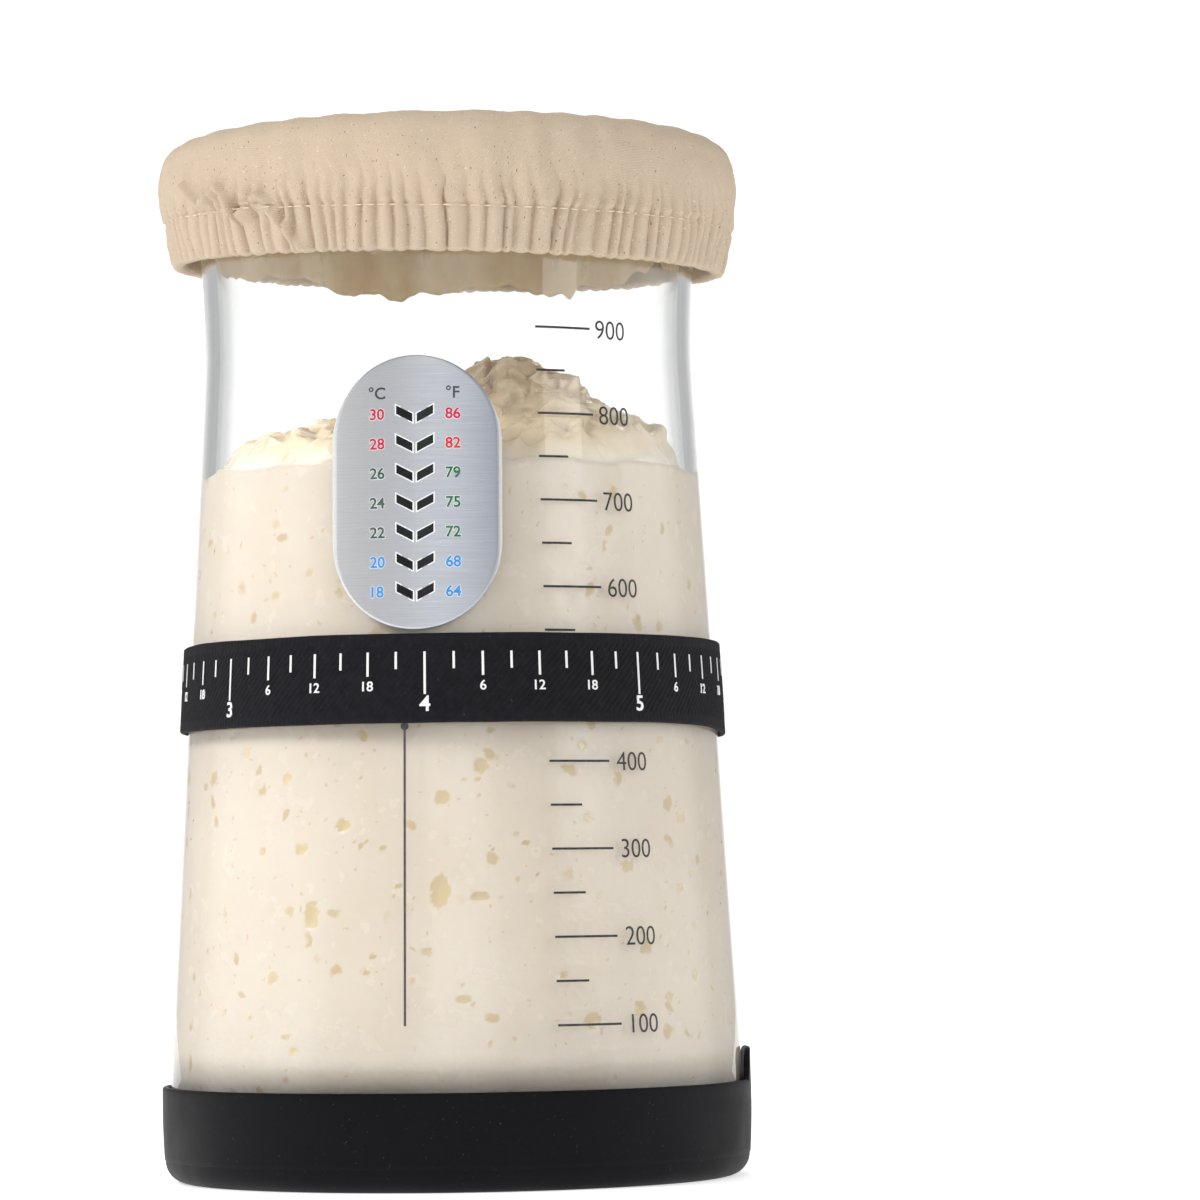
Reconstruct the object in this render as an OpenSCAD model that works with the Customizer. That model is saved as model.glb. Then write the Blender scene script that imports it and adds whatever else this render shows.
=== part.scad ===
// Sourdough starter jar: a tapered glass jar that stands in a silicone base, with its dough,
// a stuck-on thermometer strip, a feeding band that turns round the glass and a gathered
// cloth cover with elastic in its hem. Millimetres, +Z up, origin under the base's centre,
// front towards -Y. An azimuth is 0 at the front and grows towards +X.

/* [Silicone base] */
// Height of the base's wall
boot_h = 17.3; // [14:0.1:24]
// Thickness of the base's wall at its rim
boot_wall_t = 1.2; // [0.9:0.1:2]
// Thickness of the base's floor
boot_floor_t = 2.5; // [2:0.1:4]
// How far the wall bellies out past its rim
boot_belly = 0.1; // [0:0.05:0.5]
// Radius of the rounded bottom edge
boot_edge_r = 4; // [3:0.1:5]
// Height of the pull tab above the rim
tab_h = 5.8; // [4:0.1:8]
// Width of the pull tab round the wall
tab_w = 15; // [12:0.5:20]

/* [Glass jar] */
// Height of the glass
jar_h = 185; // [180:0.5:195]
// Outer radius of the glass where it leaves the base
jar_low_r = 51.9; // [50:0.1:54]
// Outer radius that the straight taper reaches at the neck
neck_r = 44.4; // [43:0.1:46]
// Height of the neck above the glass's foot
neck_h = 147.5; // [145:0.5:152]
// Outer radius of the flared mouth
mouth_r = 47.2; // [46.5:0.1:50]
// Thickness of the glass wall
glass_t = 2.5; // [2:0.1:3.2]
// Thickness of the glass floor
glass_floor_t = 11.5; // [8:0.5:14]
// Radius of the rounded heel
heel_r = 12; // [10:0.5:13]
// How far the underside is pushed up at its centre
punt_h = 2.5; // [1:0.5:4]

/* [Dough] */
// Height of the dough at the glass, above the glass floor
dough_h = 114; // [60:1:118]
// Height of the torn mound above that line
mound_h = 21; // [10:1:24]
// Thickness of the smear inside the mouth
smear_t = 0.5; // [0.3:0.1:0.8]
// How far below the rim the smear reaches on average
smear_drop = 27; // [22:1:30]

/* [Printed marks] */
// Thickness of the ink on glass and band
ink_t = 0.08; // [0.05:0.01:0.15]
// Width of a printed line
line_w = 0.4; // [0.3:0.05:0.6]
// Height of the lowest volume mark above the glass floor
first_mark_h = 14.5; // [12:0.5:18]
// Volume between two long marks, in millilitres
mark_ml = 100; // [100:50:200]
// Angle that a long volume mark covers
mark_angle = 14; // [10:1:18]
// Azimuth at which the volume marks start
mark_azimuth = 20; // [18:1:24]
// Length of the feeding line
fed_line_h = 51.8; // [40:0.5:55]
// Azimuth of the feeding line
fed_azimuth = -10; // [-14:1:-6]
// Radius of the dot at its upper end
fed_dot_r = 0.7; // [0.5:0.1:1]

/* [Thermometer] */
// Width of the strip
strip_w = 30.7; // [28:0.1:34]
// Height of the strip
strip_h = 48.3; // [46:0.1:52]
// Thickness of the strip's metal face
strip_t = 0.5; // [0.3:0.1:0.8]
// Thickness of its adhesive
adhesive_t = 0.2; // [0.1:0.05:0.3]
// Azimuth of the strip's middle
strip_azimuth = -7.6; // [-9:0.1:-5]
// Number of rows of windows
strip_rows = 7; // [5:1:7]
// Height from one row to the next
row_gap = 5.2; // [4.8:0.1:5.4]
// Width of one window
window_w = 2.8; // [2.2:0.1:3.2]
// Height of a window's upright sides
window_h = 1.5; // [1.2:0.1:1.8]
// Gap between the two windows of a row
window_gap = 0.8; // [0.6:0.1:1.2]

/* [Feeding band] */
// Width of the webbing
band_w = 15.5; // [13:0.5:18]
// Thickness of the webbing
band_t = 1.2; // [1:0.1:1.6]
// Height of the band's lower edge
band_z = 81.2; // [75:0.1:84]
// Clearance between band and glass
band_gap = 0.3; // [0.3:0.05:0.5]
// Number of days on the band
band_days = 7; // [5:1:7]
// Angle that one day covers
day_angle = 47.1; // [44:0.1:48]
// Azimuth of the middle day's mark
band_azimuth = -5.6; // [-10:0.1:10]
// Width of the sewn lap that closes the band
lap_w = 9; // [6:0.5:12]

/* [Cloth cover] */
// Thickness of the cloth
cloth_t = 0.6; // [0.5:0.05:0.8]
// Height of the cloth's skirt where its hem is highest
skirt_h = 20; // [18:0.5:24]
// Height of the hem casing
casing_h = 7.5; // [6.5:0.5:9]
// How far the gathered drum stands out past the hem
puff = 2.8; // [2:0.1:4]
// Radius of the drum's upper edge
drum_edge_r = 5.5; // [4:0.5:7]
// Depth of the pleats at the casing
pleat_d = 1; // [0.6:0.1:1.4]
// How much lower the hem hangs at its lowest side than opposite
hem_tilt = 4.5; // [0:0.5:6]
// Azimuth of the hem's lowest side
hem_tilt_azimuth = 30; // [0:5:60]
// Width of the elastic
elastic_w = 5; // [4:0.5:5.5]
// Thickness of the elastic
elastic_t = 0.5; // [0.4:0.05:0.7]

/* [Hidden] */
$fn = 120;

// Clearances and small steps that several pieces share
boot_gap = 0.3;
lift_gap = 0.3;
seat_gap = 0.3;
soft_gap = 0.1;
cell_gap = 0.05;
print_gap = 0.01;
parting_step = 0.15;
cut = 1;

// Heights that the pieces pass on to each other
foot_z = boot_floor_t;
rim_z = foot_z + jar_h;
floor_z = foot_z + glass_floor_t;
neck_z = foot_z + neck_h;
taper = (jar_low_r - neck_r) / (neck_z - boot_h);
flare_z = neck_z - 3;
flare_power = 1.5;
taper_mouth_r = jar_low_r - taper * (rim_z - boot_h);
flare_k = (mouth_r - taper_mouth_r) / pow(rim_z - flare_z, flare_power);

// Outer and inner radius of the glass at a height above the heel
function glass_r(z) = jar_low_r - taper * (z - boot_h) + flare_k * pow(max(0, z - flare_z), flare_power);
function bore_r(z) = glass_r(z) - glass_t;

// The glass's rounded heel meets the taper without an edge
heel_z = foot_z + heel_r;
heel_angle = atan(taper);
heel_x = glass_r(heel_z + heel_r * sin(heel_angle)) - heel_r * cos(heel_angle);
heel_max_r = heel_x + heel_r;

// Points from one angle to another on an arc, in a profile's own plane
function arc(x, y, r, from, to, steps) = [
    for (i = [0:steps]) let (a = from + (to - from) * i / steps) [x + r * cos(a), y + r * sin(a)]
];

// A point of the shared frame from its radius, azimuth and height
function at(r, azimuth, z) = [r * sin(azimuth), -r * cos(azimuth), z];

// The turn that brings +X to an azimuth
function turn_to(azimuth) = azimuth - 90;

// Profile of a thin layer that lies on the tapered glass between two heights
function layer_profile(z0, z1, lift, t) = [
    [glass_r(z0) + lift, z0],
    [glass_r(z0) + lift + t, z0],
    [glass_r(z1) + lift + t, z1],
    [glass_r(z1) + lift, z1]
];

// A patch of such a layer, from one azimuth over an angle
module layer(z0, z1, azimuth, angle, lift, t) {
    rotate([0, 0, turn_to(azimuth)])
        rotate_extrude(angle = angle)
            polygon(layer_profile(z0, z1, lift, t));
}

// Closed skin over rings of points, with a pole above the first and a pole below the last
module skin(top, rings, bottom) {
    n = len(rings[0]);
    last = len(rings) - 1;
    points = concat([top], [for (ring = rings) for (p = ring) p], [bottom]);
    faces = concat(
        [for (i = [0:n - 1]) [0, 1 + (i + 1) % n, 1 + i]],
        [for (k = [0:last - 1]) for (i = [0:n - 1]) let (a = 1 + k * n + i, b = 1 + k * n + (i + 1) % n)
            [a, b, b + n]],
        [for (k = [0:last - 1]) for (i = [0:n - 1]) let (a = 1 + k * n + i, b = 1 + k * n + (i + 1) % n)
            [a, b + n, a + n]],
        [for (i = [0:n - 1]) [len(points) - 1, 1 + last * n + i, 1 + last * n + (i + 1) % n]]
    );
    polyhedron(points, faces, convexity = 6);
}

// Closed skin over rings of points, where the last ring joins the first
module loop_skin(rings) {
    n = len(rings[0]);
    count = len(rings);
    faces = [
        for (k = [0:count - 1]) for (i = [0:n - 1]) for (half = [0, 1])
            let (j = (i + 1) % n, next = (k + 1) % count)
            half == 0 ? [k * n + i, k * n + j, next * n + j] : [k * n + i, next * n + j, next * n + i]
    ];
    polyhedron([for (ring = rings) for (p = ring) p], faces, convexity = 6);
}

// Silicone base

boot_in_r = heel_max_r + boot_gap;
boot_rim_r = boot_in_r + boot_wall_t;
boot_belly_r = boot_rim_r + boot_belly;
boot_low_r = boot_belly_r - 0.5;
boot_in_edge_r = 5;
rim_round = 0.45;
tab_corner_r = 3.5;
tab_root_z = boot_h - 4;
tab_inset = 0.1;

// The wall's outer radius, a shallow arc from the parting line to the rim
function boot_side_r(z) =
    let (u = (z - boot_edge_r) / (boot_h - boot_edge_r))
    boot_low_r + parting_step + (boot_rim_r - boot_low_r - parting_step) * u
        + 4 * u * (1 - u) * (boot_belly + 0.15);

boot_profile = concat(
    [[0, 0]],
    arc(boot_low_r - boot_edge_r, boot_edge_r, boot_edge_r, -90, 0, 8),
    [for (i = [0:8]) let (z = boot_edge_r + (boot_h - rim_round - boot_edge_r) * i / 8) [boot_side_r(z), z]],
    arc(boot_rim_r - rim_round, boot_h - rim_round, rim_round, 20, 90, 3),
    arc(boot_in_r + rim_round, boot_h - rim_round, rim_round, 90, 180, 3),
    arc(boot_in_r - boot_in_edge_r, foot_z + boot_in_edge_r, boot_in_edge_r, 0, -90, 6),
    [[0, foot_z]]
);

// The tab's outline, with two round upper corners; its root runs down into the wall
module tab_outline() {
    r = tab_corner_r;
    top_z = boot_h + tab_h;
    polygon(concat(
        [[-tab_w / 2, tab_root_z], [tab_w / 2, tab_root_z]],
        arc(tab_w / 2 - r, top_z - r, r, 0, 90, 8),
        arc(-tab_w / 2 + r, top_z - r, r, 90, 180, 8)
    ));
}

module base_boot() {
    color([0.08, 0.08, 0.09]) {
        rotate_extrude()
            polygon(boot_profile);
        intersection() {
            difference() {
                cylinder(h = boot_h + tab_h, r = boot_rim_r - tab_inset);
                translate([0, 0, -cut])
                    cylinder(h = boot_h + tab_h + 2 * cut, r = boot_in_r);
            }
            rotate([90, 0, 90])
                linear_extrude(boot_rim_r + cut)
                    tab_outline();
        }
    }
}

// Glass jar

bearing_r = heel_x - 4;
in_heel_r = heel_r - glass_t;
in_heel_z = floor_z + in_heel_r;
lip_r = glass_t / 2;
lip_z = rim_z - lip_r;
wall_steps = 24;
outer_wall_z = heel_z + heel_r * sin(heel_angle);

outer_profile = concat(
    [for (i = [0:5]) let (u = i / 5) [bearing_r * u, foot_z + punt_h * (1 - u * u)]],
    arc(heel_x, heel_z, heel_r, -90, heel_angle, 10),
    [for (i = [1:wall_steps]) let (z = outer_wall_z + (lip_z - outer_wall_z) * i / wall_steps)
        [glass_r(z), z]]
);

inner_profile = concat(
    [for (i = [0:wall_steps]) let (z = lip_z + (in_heel_z - lip_z) * i / wall_steps) [bore_r(z), z]],
    arc(bore_r(in_heel_z) - in_heel_r, in_heel_z, in_heel_r, 0, -90, 8),
    [[0, floor_z]]
);

lip_profile = arc(glass_r(lip_z) - lip_r, lip_z, lip_r, 20, 160, 6);

module glass_jar() {
    color([0.85, 0.92, 0.92, 0.35])
        rotate_extrude()
            polygon(concat(outer_profile, lip_profile, inner_profile));
}

// Dough

dough_z = floor_z + dough_h;
dough_sides = 48;
dough_top_r = bore_r(dough_z) - soft_gap;
// Torn lumps as share of the bore's radius across, back and wide, and share of the mound's height
lumps = [
    [0.30, -0.20, 0.42, 1.00],
    [0.18, 0.30, 0.60, 0.80],
    [-0.52, -0.25, 0.42, 0.46],
    [0.68, -0.10, 0.38, 0.52],
    [-0.30, 0.42, 0.48, 0.50],
    [0.45, 0.62, 0.34, 0.42],
    [-0.08, -0.62, 0.36, 0.40]
];

function lump_height(x, y, lump) =
    lump[3] * max(0, 1 - (pow(x - lump[0], 2) + pow(y - lump[1], 2)) / (lump[2] * lump[2]));

function mound(x, y) =
    let (rho = min(1, norm([x, y])), dome = 0.34 * (1 - pow(rho, 3)))
    max(dome, max([for (lump = lumps) lump_height(x, y, lump)]) * min(1, 4 * (1 - rho)))
        + 0.05 * (1 - pow(rho, 6)) * sin(900 * x + 300 * y) * cos(700 * y);

function dough_ring(share) = [
    for (i = [0:dough_sides - 1])
        let (a = i * 360 / dough_sides, x = share * sin(a), y = -share * cos(a))
        [x * dough_top_r, y * dough_top_r, dough_z + mound_h * mound(x, y)]
];

function dough_side_ring(r, z) = [for (i = [0:dough_sides - 1]) at(r, i * 360 / dough_sides, z)];

module starter_dough() {
    top_shares = [0.1, 0.22, 0.34, 0.46, 0.58, 0.7, 0.82, 0.92, 1];
    side_steps = 5;
    heel_steps = 3;
    low_z = floor_z + in_heel_r;
    rings = concat(
        [for (share = top_shares) dough_ring(share)],
        [for (k = [1:side_steps]) let (z = dough_z + (low_z - dough_z) * k / side_steps)
            dough_side_ring(bore_r(z) - soft_gap, z)],
        [for (k = [1:heel_steps])
            let (a = -90 * k / heel_steps, r = in_heel_r - soft_gap)
            dough_side_ring(bore_r(low_z) - in_heel_r + r * cos(a), low_z + r * sin(a))]
    );
    color([0.88, 0.82, 0.74])
        skin([0, 0, dough_z + mound_h * mound(0, 0)], rings, [0, 0, floor_z + soft_gap]);
}

smear_sides = 72;
smear_top_z = lip_z - 2;

// Ragged lower edge of the smear, as a drop below its average
function smear_edge(azimuth) =
    2 * sin(2 * azimuth + 20) + 1.4 * sin(5 * azimuth + 75)
        + 0.8 * sin(13 * azimuth) + 0.5 * sin(29 * azimuth);

function smear_ring(u, t) = [
    for (i = [0:smear_sides - 1])
        let (a = i * 360 / smear_sides, low = rim_z - smear_drop - smear_edge(a))
        let (z = low + (smear_top_z - low) * u)
        at(bore_r(z) - soft_gap - t, a, z)
];

module dough_residue() {
    outer = [for (k = [0:4]) smear_ring(1 - k / 4, 0)];
    inner = [for (k = [0:4]) smear_ring(k / 4, smear_t)];
    color([0.84, 0.74, 0.58])
        loop_skin(concat(outer, inner));
}

// Printed marks

bore_area = PI * pow((jar_low_r + neck_r) / 2 - glass_t, 2);
mark_gap = mark_ml * 1000 / bore_area;
mark_z = floor_z + first_mark_h;
scale_top_z = neck_z + 4;
half_marks = floor(2 * (scale_top_z - mark_z) / mark_gap);
short_share = 0.5;

module volume_scale() {
    color([0.2, 0.2, 0.2])
        for (k = [0:half_marks]) {
            z = mark_z + k * mark_gap / 2;
            angle = k % 2 == 0 ? mark_angle : mark_angle * short_share;
            layer(z - line_w / 2, z + line_w / 2, mark_azimuth, angle, print_gap, ink_t);
        }
}

fed_top_z = band_z - 0.6;

module fed_line() {
    low_z = fed_top_z - fed_line_h;
    color([0.25, 0.25, 0.25])
        intersection() {
            layer(low_z - cut, fed_top_z + 2 * cut, fed_azimuth - 3, 6, print_gap, ink_t);
            rotate([0, 0, fed_azimuth])
                translate([0, 0, low_z])
                    rotate([90, 0, 0])
                        linear_extrude(jar_low_r + cut)
                            fed_outline();
        }
}

// A line that stands on its base line, with a round dot at its upper end
module fed_outline() {
    neck_angle = asin(line_w / 2 / fed_dot_r);
    polygon(concat(
        [[-line_w / 2, 0], [line_w / 2, 0]],
        arc(0, fed_line_h, fed_dot_r, -90 + neck_angle, 270 - neck_angle, 32)
    ));
}

// Thermometer

strip_z = band_z + band_w + 0.6 + strip_h / 2;
strip_low_z = strip_z - strip_h / 2;
strip_high_z = strip_z + strip_h / 2;
strip_reach = strip_w;
adhesive_inset = 0.4;
window_slope = 28;
row_z = strip_z + row_gap * (strip_rows - 1) / 2 - 1.8;

// A flat outline of the strip pushed through the glass's front and kept where a layer lies
module on_strip(lift, t) {
    intersection() {
        layer(strip_low_z - cut, strip_high_z + cut, strip_azimuth - 30, 60, lift, t);
        rotate([0, 0, strip_azimuth])
            translate([0, 0, strip_z])
                rotate([90, 0, 0])
                    linear_extrude(jar_low_r + cut)
                        children();
    }
}

module strip_outline(inset) {
    r = strip_w / 2 - inset;
    straight = strip_h / 2 - strip_w / 2;
    polygon(concat(
        arc(0, straight, r, 0, 180, 24),
        arc(0, -straight, r, 180, 360, 24)
    ));
}

// One slanted window: side is -1 left of the middle and 1 right of it
module window_outline(side, gap) {
    inner_x = side * (window_gap / 2 + gap);
    outer_x = side * (window_gap / 2 + window_w - gap);
    rise = (window_w - 2 * gap) * tan(window_slope);
    h = window_h / 2 - gap;
    polygon([
        [inner_x, -h - rise / 2],
        [outer_x, -h + rise / 2],
        [outer_x, h + rise / 2],
        [inner_x, h - rise / 2]
    ]);
}

module windows(gap) {
    for (row = [0:strip_rows - 1])
        for (side = [-1, 1])
            translate([0, row_z - strip_z - row * row_gap])
                window_outline(side, gap);
}

module thermometer_adhesive() {
    color([0.9, 0.9, 0.86])
        on_strip(print_gap, adhesive_t)
            strip_outline(adhesive_inset);
}

module thermometer_plate() {
    color([0.72, 0.73, 0.75])
        on_strip(print_gap + adhesive_t, strip_t)
            difference() {
                strip_outline(0);
                windows(0);
            }
}

module thermometer_cells() {
    color([0.1, 0.1, 0.11])
        on_strip(print_gap + adhesive_t, strip_t - 0.1)
            windows(cell_gap);
}

// Feeding band

band_edge_r = band_t * 0.45;
band_top_z = band_z + band_w;

// The band's radii at a height, parallel to the glass
function band_in_r(z) = glass_r(z) + band_gap;

// The webbing's cross section, with rounded selvedges
band_profile = concat(
    [for (p = arc(0, 0, band_edge_r, -90, 0, 4))
        [band_in_r(band_z) + band_t - band_edge_r + p[0], band_z + band_edge_r + p[1]]],
    [for (p = arc(0, 0, band_edge_r, 0, 90, 4))
        [band_in_r(band_top_z) + band_t - band_edge_r + p[0], band_top_z - band_edge_r + p[1]]],
    [for (p = arc(0, 0, band_edge_r, 90, 180, 4))
        [band_in_r(band_top_z) + band_edge_r + p[0], band_top_z - band_edge_r + p[1]]],
    [for (p = arc(0, 0, band_edge_r, 180, 270, 4))
        [band_in_r(band_z) + band_edge_r + p[0], band_z + band_edge_r + p[1]]]
);

module feeding_band() {
    lap_angle = lap_w / band_in_r(band_z) * 180 / PI;
    color([0.07, 0.07, 0.08]) {
        rotate_extrude()
            polygon(band_profile);
        rotate([0, 0, turn_to(180 + band_azimuth - lap_angle / 2)])
            rotate_extrude(angle = lap_angle)
                translate([band_t - 2 * soft_gap, 0])
                    polygon(band_profile);
    }
}

tick_top_z = band_top_z - 3.2;
long_tick_h = 7.4;
middle_tick_h = 4.2;
short_tick_h = 3;
ticks_a_day = 8;

module band_ticks() {
    first = band_azimuth - day_angle * band_days / 2;
    width_angle = line_w / glass_r(tick_top_z) * 180 / PI;
    lift = band_gap + band_t + print_gap;
    color("white")
        for (k = [0:band_days * ticks_a_day]) {
            hour = (k + ticks_a_day / 2) % ticks_a_day;
            h = hour == 0 ? long_tick_h : (hour % 2 == 0 ? middle_tick_h : short_tick_h);
            azimuth = first + k * day_angle / ticks_a_day - width_angle / 2;
            layer(tick_top_z - h, tick_top_z, azimuth, width_angle, lift, ink_t);
        }
}

// Cloth cover

cover_sides = 76;
pocket_w = elastic_t + 2 * soft_gap;
tilt = atan(hem_tilt / (2 * mouth_r));
tilt_axis = [cos(hem_tilt_azimuth), sin(hem_tilt_azimuth), 0];
flap_in_r = mouth_r + lift_gap + casing_h * tan(tilt);
pocket_in_r = flap_in_r + cloth_t;
pocket_out_r = pocket_in_r + pocket_w;
hem_r = pocket_out_r + cloth_t;
drum_r = hem_r + puff;
cover_low_z = rim_z + seat_gap;
cover_top_z = cover_low_z + cloth_t;
hem_z = cover_top_z - skirt_h;
drum_z = cover_top_z - drum_edge_r;

// Pleats stand out from the cloth's valleys by 0 to 1 times their depth
function pleat(a) = 0.5 + (0.28 + 0.16 * sin(7 * a + 30)) * cos(38 * a) + 0.06 * sin(19 * a + 50);

// The frill below the casing's seam hangs unevenly
function frill(a) = 0.35 + 0.35 * sin(9 * a + 30);

// A point of the hem turned with it about the hem plane's own centre
function tilted(p) =
    p * cos(tilt) + cross(tilt_axis, p) * sin(tilt) + tilt_axis * (tilt_axis * p) * (1 - cos(tilt));

// A ring of cloth at a height above the hem; share is how far it follows the hem's tilt
function cloth_ring(r, h, depth, share, frill_h = 0) = [
    for (i = [0:cover_sides - 1])
        let (a = i * 360 / cover_sides, p = at(r + depth * pleat(a), a, h - frill_h * frill(a)))
        p * (1 - share) + tilted(p) * share + [0, 0, hem_z - share * hem_tilt / 2]
];

// An arc of the drum's upper edge as radius and height above the hem
function drum_edge(r, angles) = [
    for (a = angles) [drum_r - drum_edge_r + r * cos(a), drum_z + r * sin(a) - hem_z]
];

module cover_cloth() {
    edge = drum_edge(drum_edge_r, [90, 50, 20, 0]);
    in_edge = drum_edge(drum_edge_r - cloth_t, [0, 35, 90]);
    outer = [
        for (k = [0:3]) cloth_ring(edge[k][0], edge[k][1], k * 0.08 * pleat_d, 0),
        cloth_ring(drum_r - 0.35 * puff, (drum_z - hem_z + casing_h) / 2, pleat_d * 0.6, 0.5),
        cloth_ring(hem_r + 0.1 * puff, casing_h, pleat_d * 1.3, 1),
        cloth_ring(hem_r, 0, pleat_d, 1, 1)
    ];
    casing = [
        cloth_ring(flap_in_r, 0, 0, 1, 1),
        cloth_ring(flap_in_r, casing_h, 0, 1),
        cloth_ring(pocket_in_r, casing_h, 0, 1),
        cloth_ring(pocket_in_r, cloth_t, 0, 1),
        cloth_ring(pocket_out_r, cloth_t, 0, 1),
        cloth_ring(pocket_out_r, casing_h, 0, 1)
    ];
    inner = [for (p = in_edge) cloth_ring(p[0], p[1], 0, 0)];
    color([0.89, 0.81, 0.71])
        skin([0, 0, cover_top_z], concat(outer, casing, inner), [0, 0, cover_low_z]);
}

module cover_elastic() {
    color([0.93, 0.91, 0.87])
        translate([0, 0, hem_z - hem_tilt / 2])
            rotate(a = tilt, v = tilt_axis)
                rotate_extrude()
                    translate([pocket_in_r + soft_gap, cloth_t + soft_gap])
                        square([elastic_t, elastic_w]);
}

base_boot();
glass_jar();
starter_dough();
dough_residue();
volume_scale();
fed_line();
thermometer_adhesive();
thermometer_plate();
thermometer_cells();
feeding_band();
band_ticks();
cover_cloth();
cover_elastic();
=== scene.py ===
"""Looks of the sourdough starter jar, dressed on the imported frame.

Sizes in the classes are millimetres and azimuths are degrees from the front (-Y)
towards +X. Studio and the materials work in metres, as the meshes do.
"""
import logging
import math
from dataclasses import dataclass, field
from enum import Enum
from typing import Callable, Optional, Sequence, Union

import bmesh
import bpy
import numpy as np
from mathutils import Matrix, Vector, noise


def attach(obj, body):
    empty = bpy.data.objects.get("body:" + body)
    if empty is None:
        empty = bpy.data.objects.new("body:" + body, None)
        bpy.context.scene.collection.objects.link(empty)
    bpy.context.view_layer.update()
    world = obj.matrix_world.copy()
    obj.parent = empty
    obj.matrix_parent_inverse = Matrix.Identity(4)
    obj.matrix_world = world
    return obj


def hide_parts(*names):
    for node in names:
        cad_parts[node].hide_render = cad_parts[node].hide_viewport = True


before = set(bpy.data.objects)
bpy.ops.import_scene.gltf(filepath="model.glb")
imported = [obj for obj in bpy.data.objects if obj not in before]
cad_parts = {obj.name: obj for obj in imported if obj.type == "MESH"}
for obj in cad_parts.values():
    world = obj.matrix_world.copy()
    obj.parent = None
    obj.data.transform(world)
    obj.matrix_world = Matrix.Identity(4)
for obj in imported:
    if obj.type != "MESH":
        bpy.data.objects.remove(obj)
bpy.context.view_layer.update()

LOG = logging.getLogger("starter_jar")
MM = 0.001
MERGE = 1e-7
FULL_TURN = 360.0

RenderObject = bpy.types.Object
Material = bpy.types.Material
Socket = bpy.types.NodeSocket
Flat = tuple[float, float]
Point = tuple[float, float, float]
Colour = tuple[float, float, float]
Number = Union[Socket, float]
Tone = Union[Socket, Colour]
Placer = Callable[[float, float, float], Point]


class Body(Enum):
    """Bodies that the pieces ride on."""

    BASE = "base"
    JAR = "jar"
    BAND = "feeding_band"
    COVER = "cloth_cover"


def at(radius: float, azimuth: float, height: float) -> Point:
    """Return the point at a radius, azimuth and height."""
    angle = math.radians(azimuth)
    return (radius * math.sin(angle), -radius * math.cos(angle), height)


def apart(azimuth: Union[float, np.ndarray], other: float) -> Union[float, np.ndarray]:
    """Return the angle from one azimuth to others, between -180 and 180."""
    return (azimuth - other + FULL_TURN / 2) % FULL_TURN - FULL_TURN / 2


def evenly(around: int) -> np.ndarray:
    """Return evenly spaced azimuths round the jar."""
    return np.arange(around) * FULL_TURN / around


def smooth(value: float, low: float, high: float) -> float:
    """Return a value eased from 0 at one limit to 1 at the other."""
    share = min(1.0, max(0.0, (value - low) / (high - low)))
    return share * share * (3.0 - 2.0 * share)


def rough(x: float, y: float, z: float = 0.0, octaves: int = 3) -> float:
    """Return fractal noise between about -1 and 1 at a point."""
    return noise.fractal(Vector((x, y, z)), 1.0, 2.0, octaves, noise_basis="PERLIN_ORIGINAL")


def ring_rough(azimuth: float, scale: float, z: float, octaves: int = 3) -> float:
    """Return noise at an azimuth that meets itself round the jar."""
    angle = math.radians(azimuth)
    return rough(math.sin(angle) * scale, math.cos(angle) * scale, z, octaves)


def bell(distance: float, width: float) -> float:
    """Return a bell curve, 1 at no distance."""
    return math.exp(-(distance / width) ** 2)


def arc(centre: Flat, radius: float, start: float, end: float, steps: int = 12) -> list[Flat]:
    """Return points on an arc of radius and height between two angles, ends included."""
    angles = [math.radians(start + (end - start) * i / steps) for i in range(steps + 1)]
    return [(centre[0] + radius * math.cos(a), centre[1] + radius * math.sin(a)) for a in angles]


def link(name: str, data: bpy.types.ID) -> RenderObject:
    """Add an object to the scene.

    Args:
        name: name of the object.
        data: its mesh, light, text or camera.

    Returns:
        The object.
    """
    thing = bpy.data.objects.new(name, data)
    bpy.context.scene.collection.objects.link(thing)
    return thing


def settle(mesh: bpy.types.Mesh, work: bmesh.types.BMesh) -> None:
    """Turn a bmesh's faces outwards, write it to a mesh and free it.

    Args:
        mesh: mesh that is overwritten.
        work: the bmesh.
    """
    bmesh.ops.recalc_face_normals(work, faces=work.faces)
    work.to_mesh(mesh)
    work.free()


def to_mesh(source: RenderObject) -> bpy.types.Mesh:
    """Make an object's evaluated shape a plain mesh and remove the object.

    Args:
        source: object with live modifiers or text.

    Returns:
        The mesh.
    """
    ready = source.evaluated_get(bpy.context.evaluated_depsgraph_get())
    mesh = bpy.data.meshes.new_from_object(ready)
    bpy.data.objects.remove(source)
    return mesh


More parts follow.
